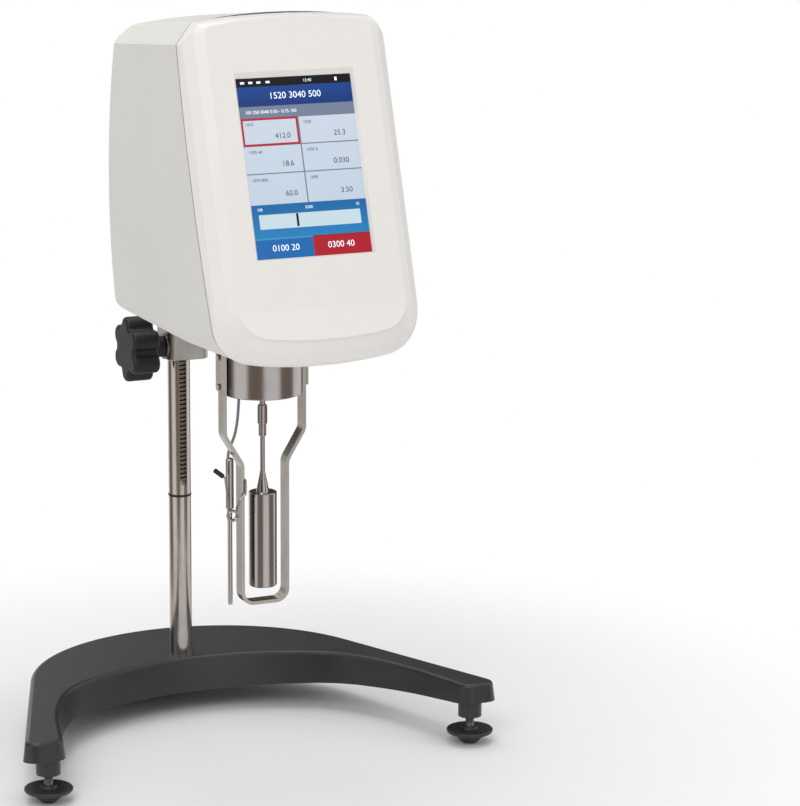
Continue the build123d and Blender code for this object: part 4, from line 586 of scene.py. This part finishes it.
def make_display():
    """Numbers in the cells and bars, and the status bar's small blocks."""
    left = (0.42, 0.04)
    right = (0.9, 0.54)
    cells = [
        ("412.0", "1010", left, 0.325, 0.256),
        ("25.3", "1020", right, 0.325, 0.256),
        ("18.6", "1030 40", left, 0.48, 0.41),
        ("0.030", "1050 6", right, 0.48, 0.41),
        ("60.0", "1070 800", left, 0.645, 0.565),
        ("3.50", "1090", right, 0.645, 0.565),
    ]
    dark = [digits(value, edges[0], low, 3.6) for value, _, edges, low, _ in cells]
    dark += [digits(caption, edges[1], high, 2.1, "LEFT") for _, caption, edges, _, high in cells]
    add_piece("display_values", joined("display_values", dark), "head", made["ink_dark"])
    blocks = [(x, 0.025, 0.035, 0.012) for x in (0.04, 0.11, 0.18, 0.26)]
    pale = [
        digits("1520 3040 500", 0.5, 0.103, 4.4, "CENTER"),
        digits("100 250 0040 0.50 - 0.75 100", 0.05, 0.19, 2.2, "LEFT"),
        digits("100", 0.05, 0.727, 1.9, "LEFT"),
        digits("0200", 0.5, 0.727, 1.9, "CENTER"),
        digits("10", 0.94, 0.727, 1.9),
        digits("0100 20", 0.26, 0.943, 4.2, "CENTER"),
        digits("0300 40", 0.74, 0.943, 4.2, "CENTER"),
        digits("12:40", 0.62, 0.025, 2.0, "CENTER"),
        strokes(blocks + [(0.86, 0.025, 0.02, 0.02)]),
    ]
    add_piece("display_marks", joined("display_marks", pale), "head", made["ink_pale"])


make_display()


# Knurling on the coupling nut

KNURL_COUNT = 28
KNURL_RADIUS = 3.1
KNURL_RIDGE = (0.36, 0.32, 11.5)  # outwards, along the ring and upright


def ridge_tree(name):
    """Node tree that stands a ridge on each point of a circle, facing outwards."""
    tree = bpy.data.node_groups.new(name, "GeometryNodeTree")
    tree.interface.new_socket("Geometry", in_out="OUTPUT", socket_type="NodeSocketGeometry")
    kinds = {"Count": "NodeSocketInt", "Radius": "NodeSocketFloat", "Ridge": "NodeSocketVector"}
    for label, kind in kinds.items():
        tree.interface.new_socket(label, in_out="INPUT", socket_type=kind)
    sizes = tree.nodes.new("NodeGroupInput").outputs
    circle_sockets = {"Vertices": sizes["Count"], "Radius": sizes["Radius"]}
    circle = add_node(tree, "GeometryNodeMeshCircle", sockets=circle_sockets)
    ridge = add_node(tree, "GeometryNodeMeshCube", sockets={"Size": sizes["Ridge"]})
    outwards = tree.nodes.new("GeometryNodeInputPosition").outputs["Position"]
    turn = add_node(tree, "FunctionNodeAlignEulerToVector", sockets={"Vector": outwards})
    spread_sockets = {
        "Points": circle.outputs["Mesh"],
        "Instance": ridge.outputs["Mesh"],
        "Rotation": turn.outputs["Rotation"],
    }
    spread = add_node(tree, "GeometryNodeInstanceOnPoints", sockets=spread_sockets)
    whole = add_node(tree, "GeometryNodeRealizeInstances", sockets={"Geometry": spread.outputs["Instances"]})
    finish_sockets = {"Geometry": whole.outputs["Geometry"], "Material": made["turned"]}
    finish = add_node(tree, "GeometryNodeSetMaterial", sockets=finish_sockets)
    add_node(tree, "NodeGroupOutput", sockets={"Geometry": finish.outputs["Geometry"]})
    return tree


def make_knurl():
    """Upright ridges round the coupling nut."""
    tree = ridge_tree("coupling_knurl")
    holder = put_in_scene("coupling_knurl", bpy.data.meshes.new("coupling_knurl"))
    modifier = holder.modifiers.new("ridges", "NODES")
    modifier.node_group = tree
    names = {item.name: item.identifier for item in tree.interface.items_tree if item.in_out == "INPUT"}
    modifier[names["Count"]] = KNURL_COUNT
    modifier[names["Radius"]] = KNURL_RADIUS * MM
    modifier[names["Ridge"]] = tuple(size * MM for size in KNURL_RIDGE)
    bpy.context.view_layer.update()
    done = holder.evaluated_get(bpy.context.evaluated_depsgraph_get())
    mesh = bpy.data.meshes.new_from_object(done)
    bpy.data.objects.remove(holder)
    mesh.transform(Matrix.Translation((0, SPINDLE_Y * MM, NUT_MIDDLE_Z * MM)))
    add_piece("coupling_knurl", mesh, "measuring_shaft", made["turned"])


make_knurl()


# Floor and light

FLOOR_HALF = 6.0
FLOOR_NEAR = 0.15  # the shadow's full strength ends here
FLOOR_FAR = 0.5  # and it is gone here
BAND_COUNT = 4  # dark bands in the surroundings that metal reflects
BAND_TURN = 1.2


def bands(east, north, low, high):
    """1 in the bright bands round the instrument and 0 in the dark ones."""
    return (north.angle_with(east) * BAND_COUNT + BAND_TURN).wave().ramp(low, high)


def make_floor():
    """Pale floor that keeps the shadow and is white further out."""
    mesh = bpy.data.meshes.new("floor")
    corners = [(x * FLOOR_HALF, y * FLOOR_HALF, 0) for x, y in ((-1, -1), (1, -1), (1, 1), (-1, 1))]
    mesh.from_pydata(corners, [], [(0, 1, 2, 3)])
    floor = put_in_scene("floor", mesh)
    finish = Finish("floor", (0.9, 0.9, 0.9, 1))
    finish.put("Roughness", finish.noise(4, 2) * 0.1 + 0.6)
    path = finish.node("ShaderNodeLightPath").outputs
    camera_ray = Value(finish.tree, path["Is Camera Ray"])
    seen = camera_ray.most(Value(finish.tree, path["Is Glossy Ray"]))
    bright = camera_ray.most(bands(finish.x, finish.y, -0.5, 0.5))
    color = finish.mix(bright, linear(138, 126, 118), WHITE)
    glow = finish.node("ShaderNodeEmission", sockets={"Strength": 1.0, "Color": color})
    reach = (finish.x * finish.x + finish.y * finish.y).ramp(FLOOR_NEAR**2, FLOOR_FAR**2)
    layers = {"Fac": seen * reach, 1: finish.shader.outputs[0], 2: glow.outputs[0]}
    blend = finish.node("ShaderNodeMixShader", sockets=layers)
    surface = finish.tree.nodes["Material Output"].inputs["Surface"]
    finish.tree.links.new(blend.outputs[0], surface)
    floor.data.materials.append(finish.material)


LIGHT_TARGET = (0, 0, 0.3)


def area_light(name, place, size, power):
    """Soft lamp aimed at the middle of the instrument."""
    light = bpy.data.lights.new(name, "AREA")
    light.shape = "RECTANGLE"
    light.size, light.size_y = size
    light.energy = power
    holder = put_in_scene(name, light)
    holder.location = place
    way = Vector(LIGHT_TARGET) - Vector(place)
    holder.rotation_mode = "QUATERNION"
    holder.rotation_quaternion = way.to_track_quat("-Z", "Y")


def make_world():
    """Pale surroundings: white to the camera, and in bright and dark bands for reflections."""
    world = bpy.data.worlds.new("world")
    bpy.context.scene.world = world
    world.use_nodes = True
    tree = world.node_tree
    path = add_node(tree, "ShaderNodeLightPath").outputs
    seen = Value(tree, path["Is Camera Ray"]).most(Value(tree, path["Is Transmission Ray"]))
    direction = add_node(tree, "ShaderNodeTexCoord").outputs["Generated"]
    split = add_node(tree, "ShaderNodeSeparateXYZ", sockets={0: direction})
    east, north, up = (Value(tree, out) for out in split.outputs)
    bright = bands(east, north, -0.35, 0.5) + up.ramp(0.5, 0.9)
    glossy = mixed(tree, bright, linear(74, 62, 54), WHITE, {"clamp_factor": True})
    unseen = mixed(tree, path["Is Glossy Ray"], (0.56, 0.56, 0.57, 1), glossy)
    background = tree.nodes["Background"]
    plug(tree, mixed(tree, seen, unseen, WHITE), background.inputs["Color"])
    background.inputs["Strength"].default_value = 1.0


make_floor()
make_world()
area_light("key", (-1.3, -1.6, 1.9), (1.4, 1.4), 21)
area_light("fill", (1.9, -1.2, 1.0), (1.0, 1.6), 7)
area_light("top", (0.0, 0.2, 2.2), (1.6, 1.6), 14)
bpy.context.scene.view_settings.view_transform = "Standard"
bpy.context.scene.view_settings.look = "None"
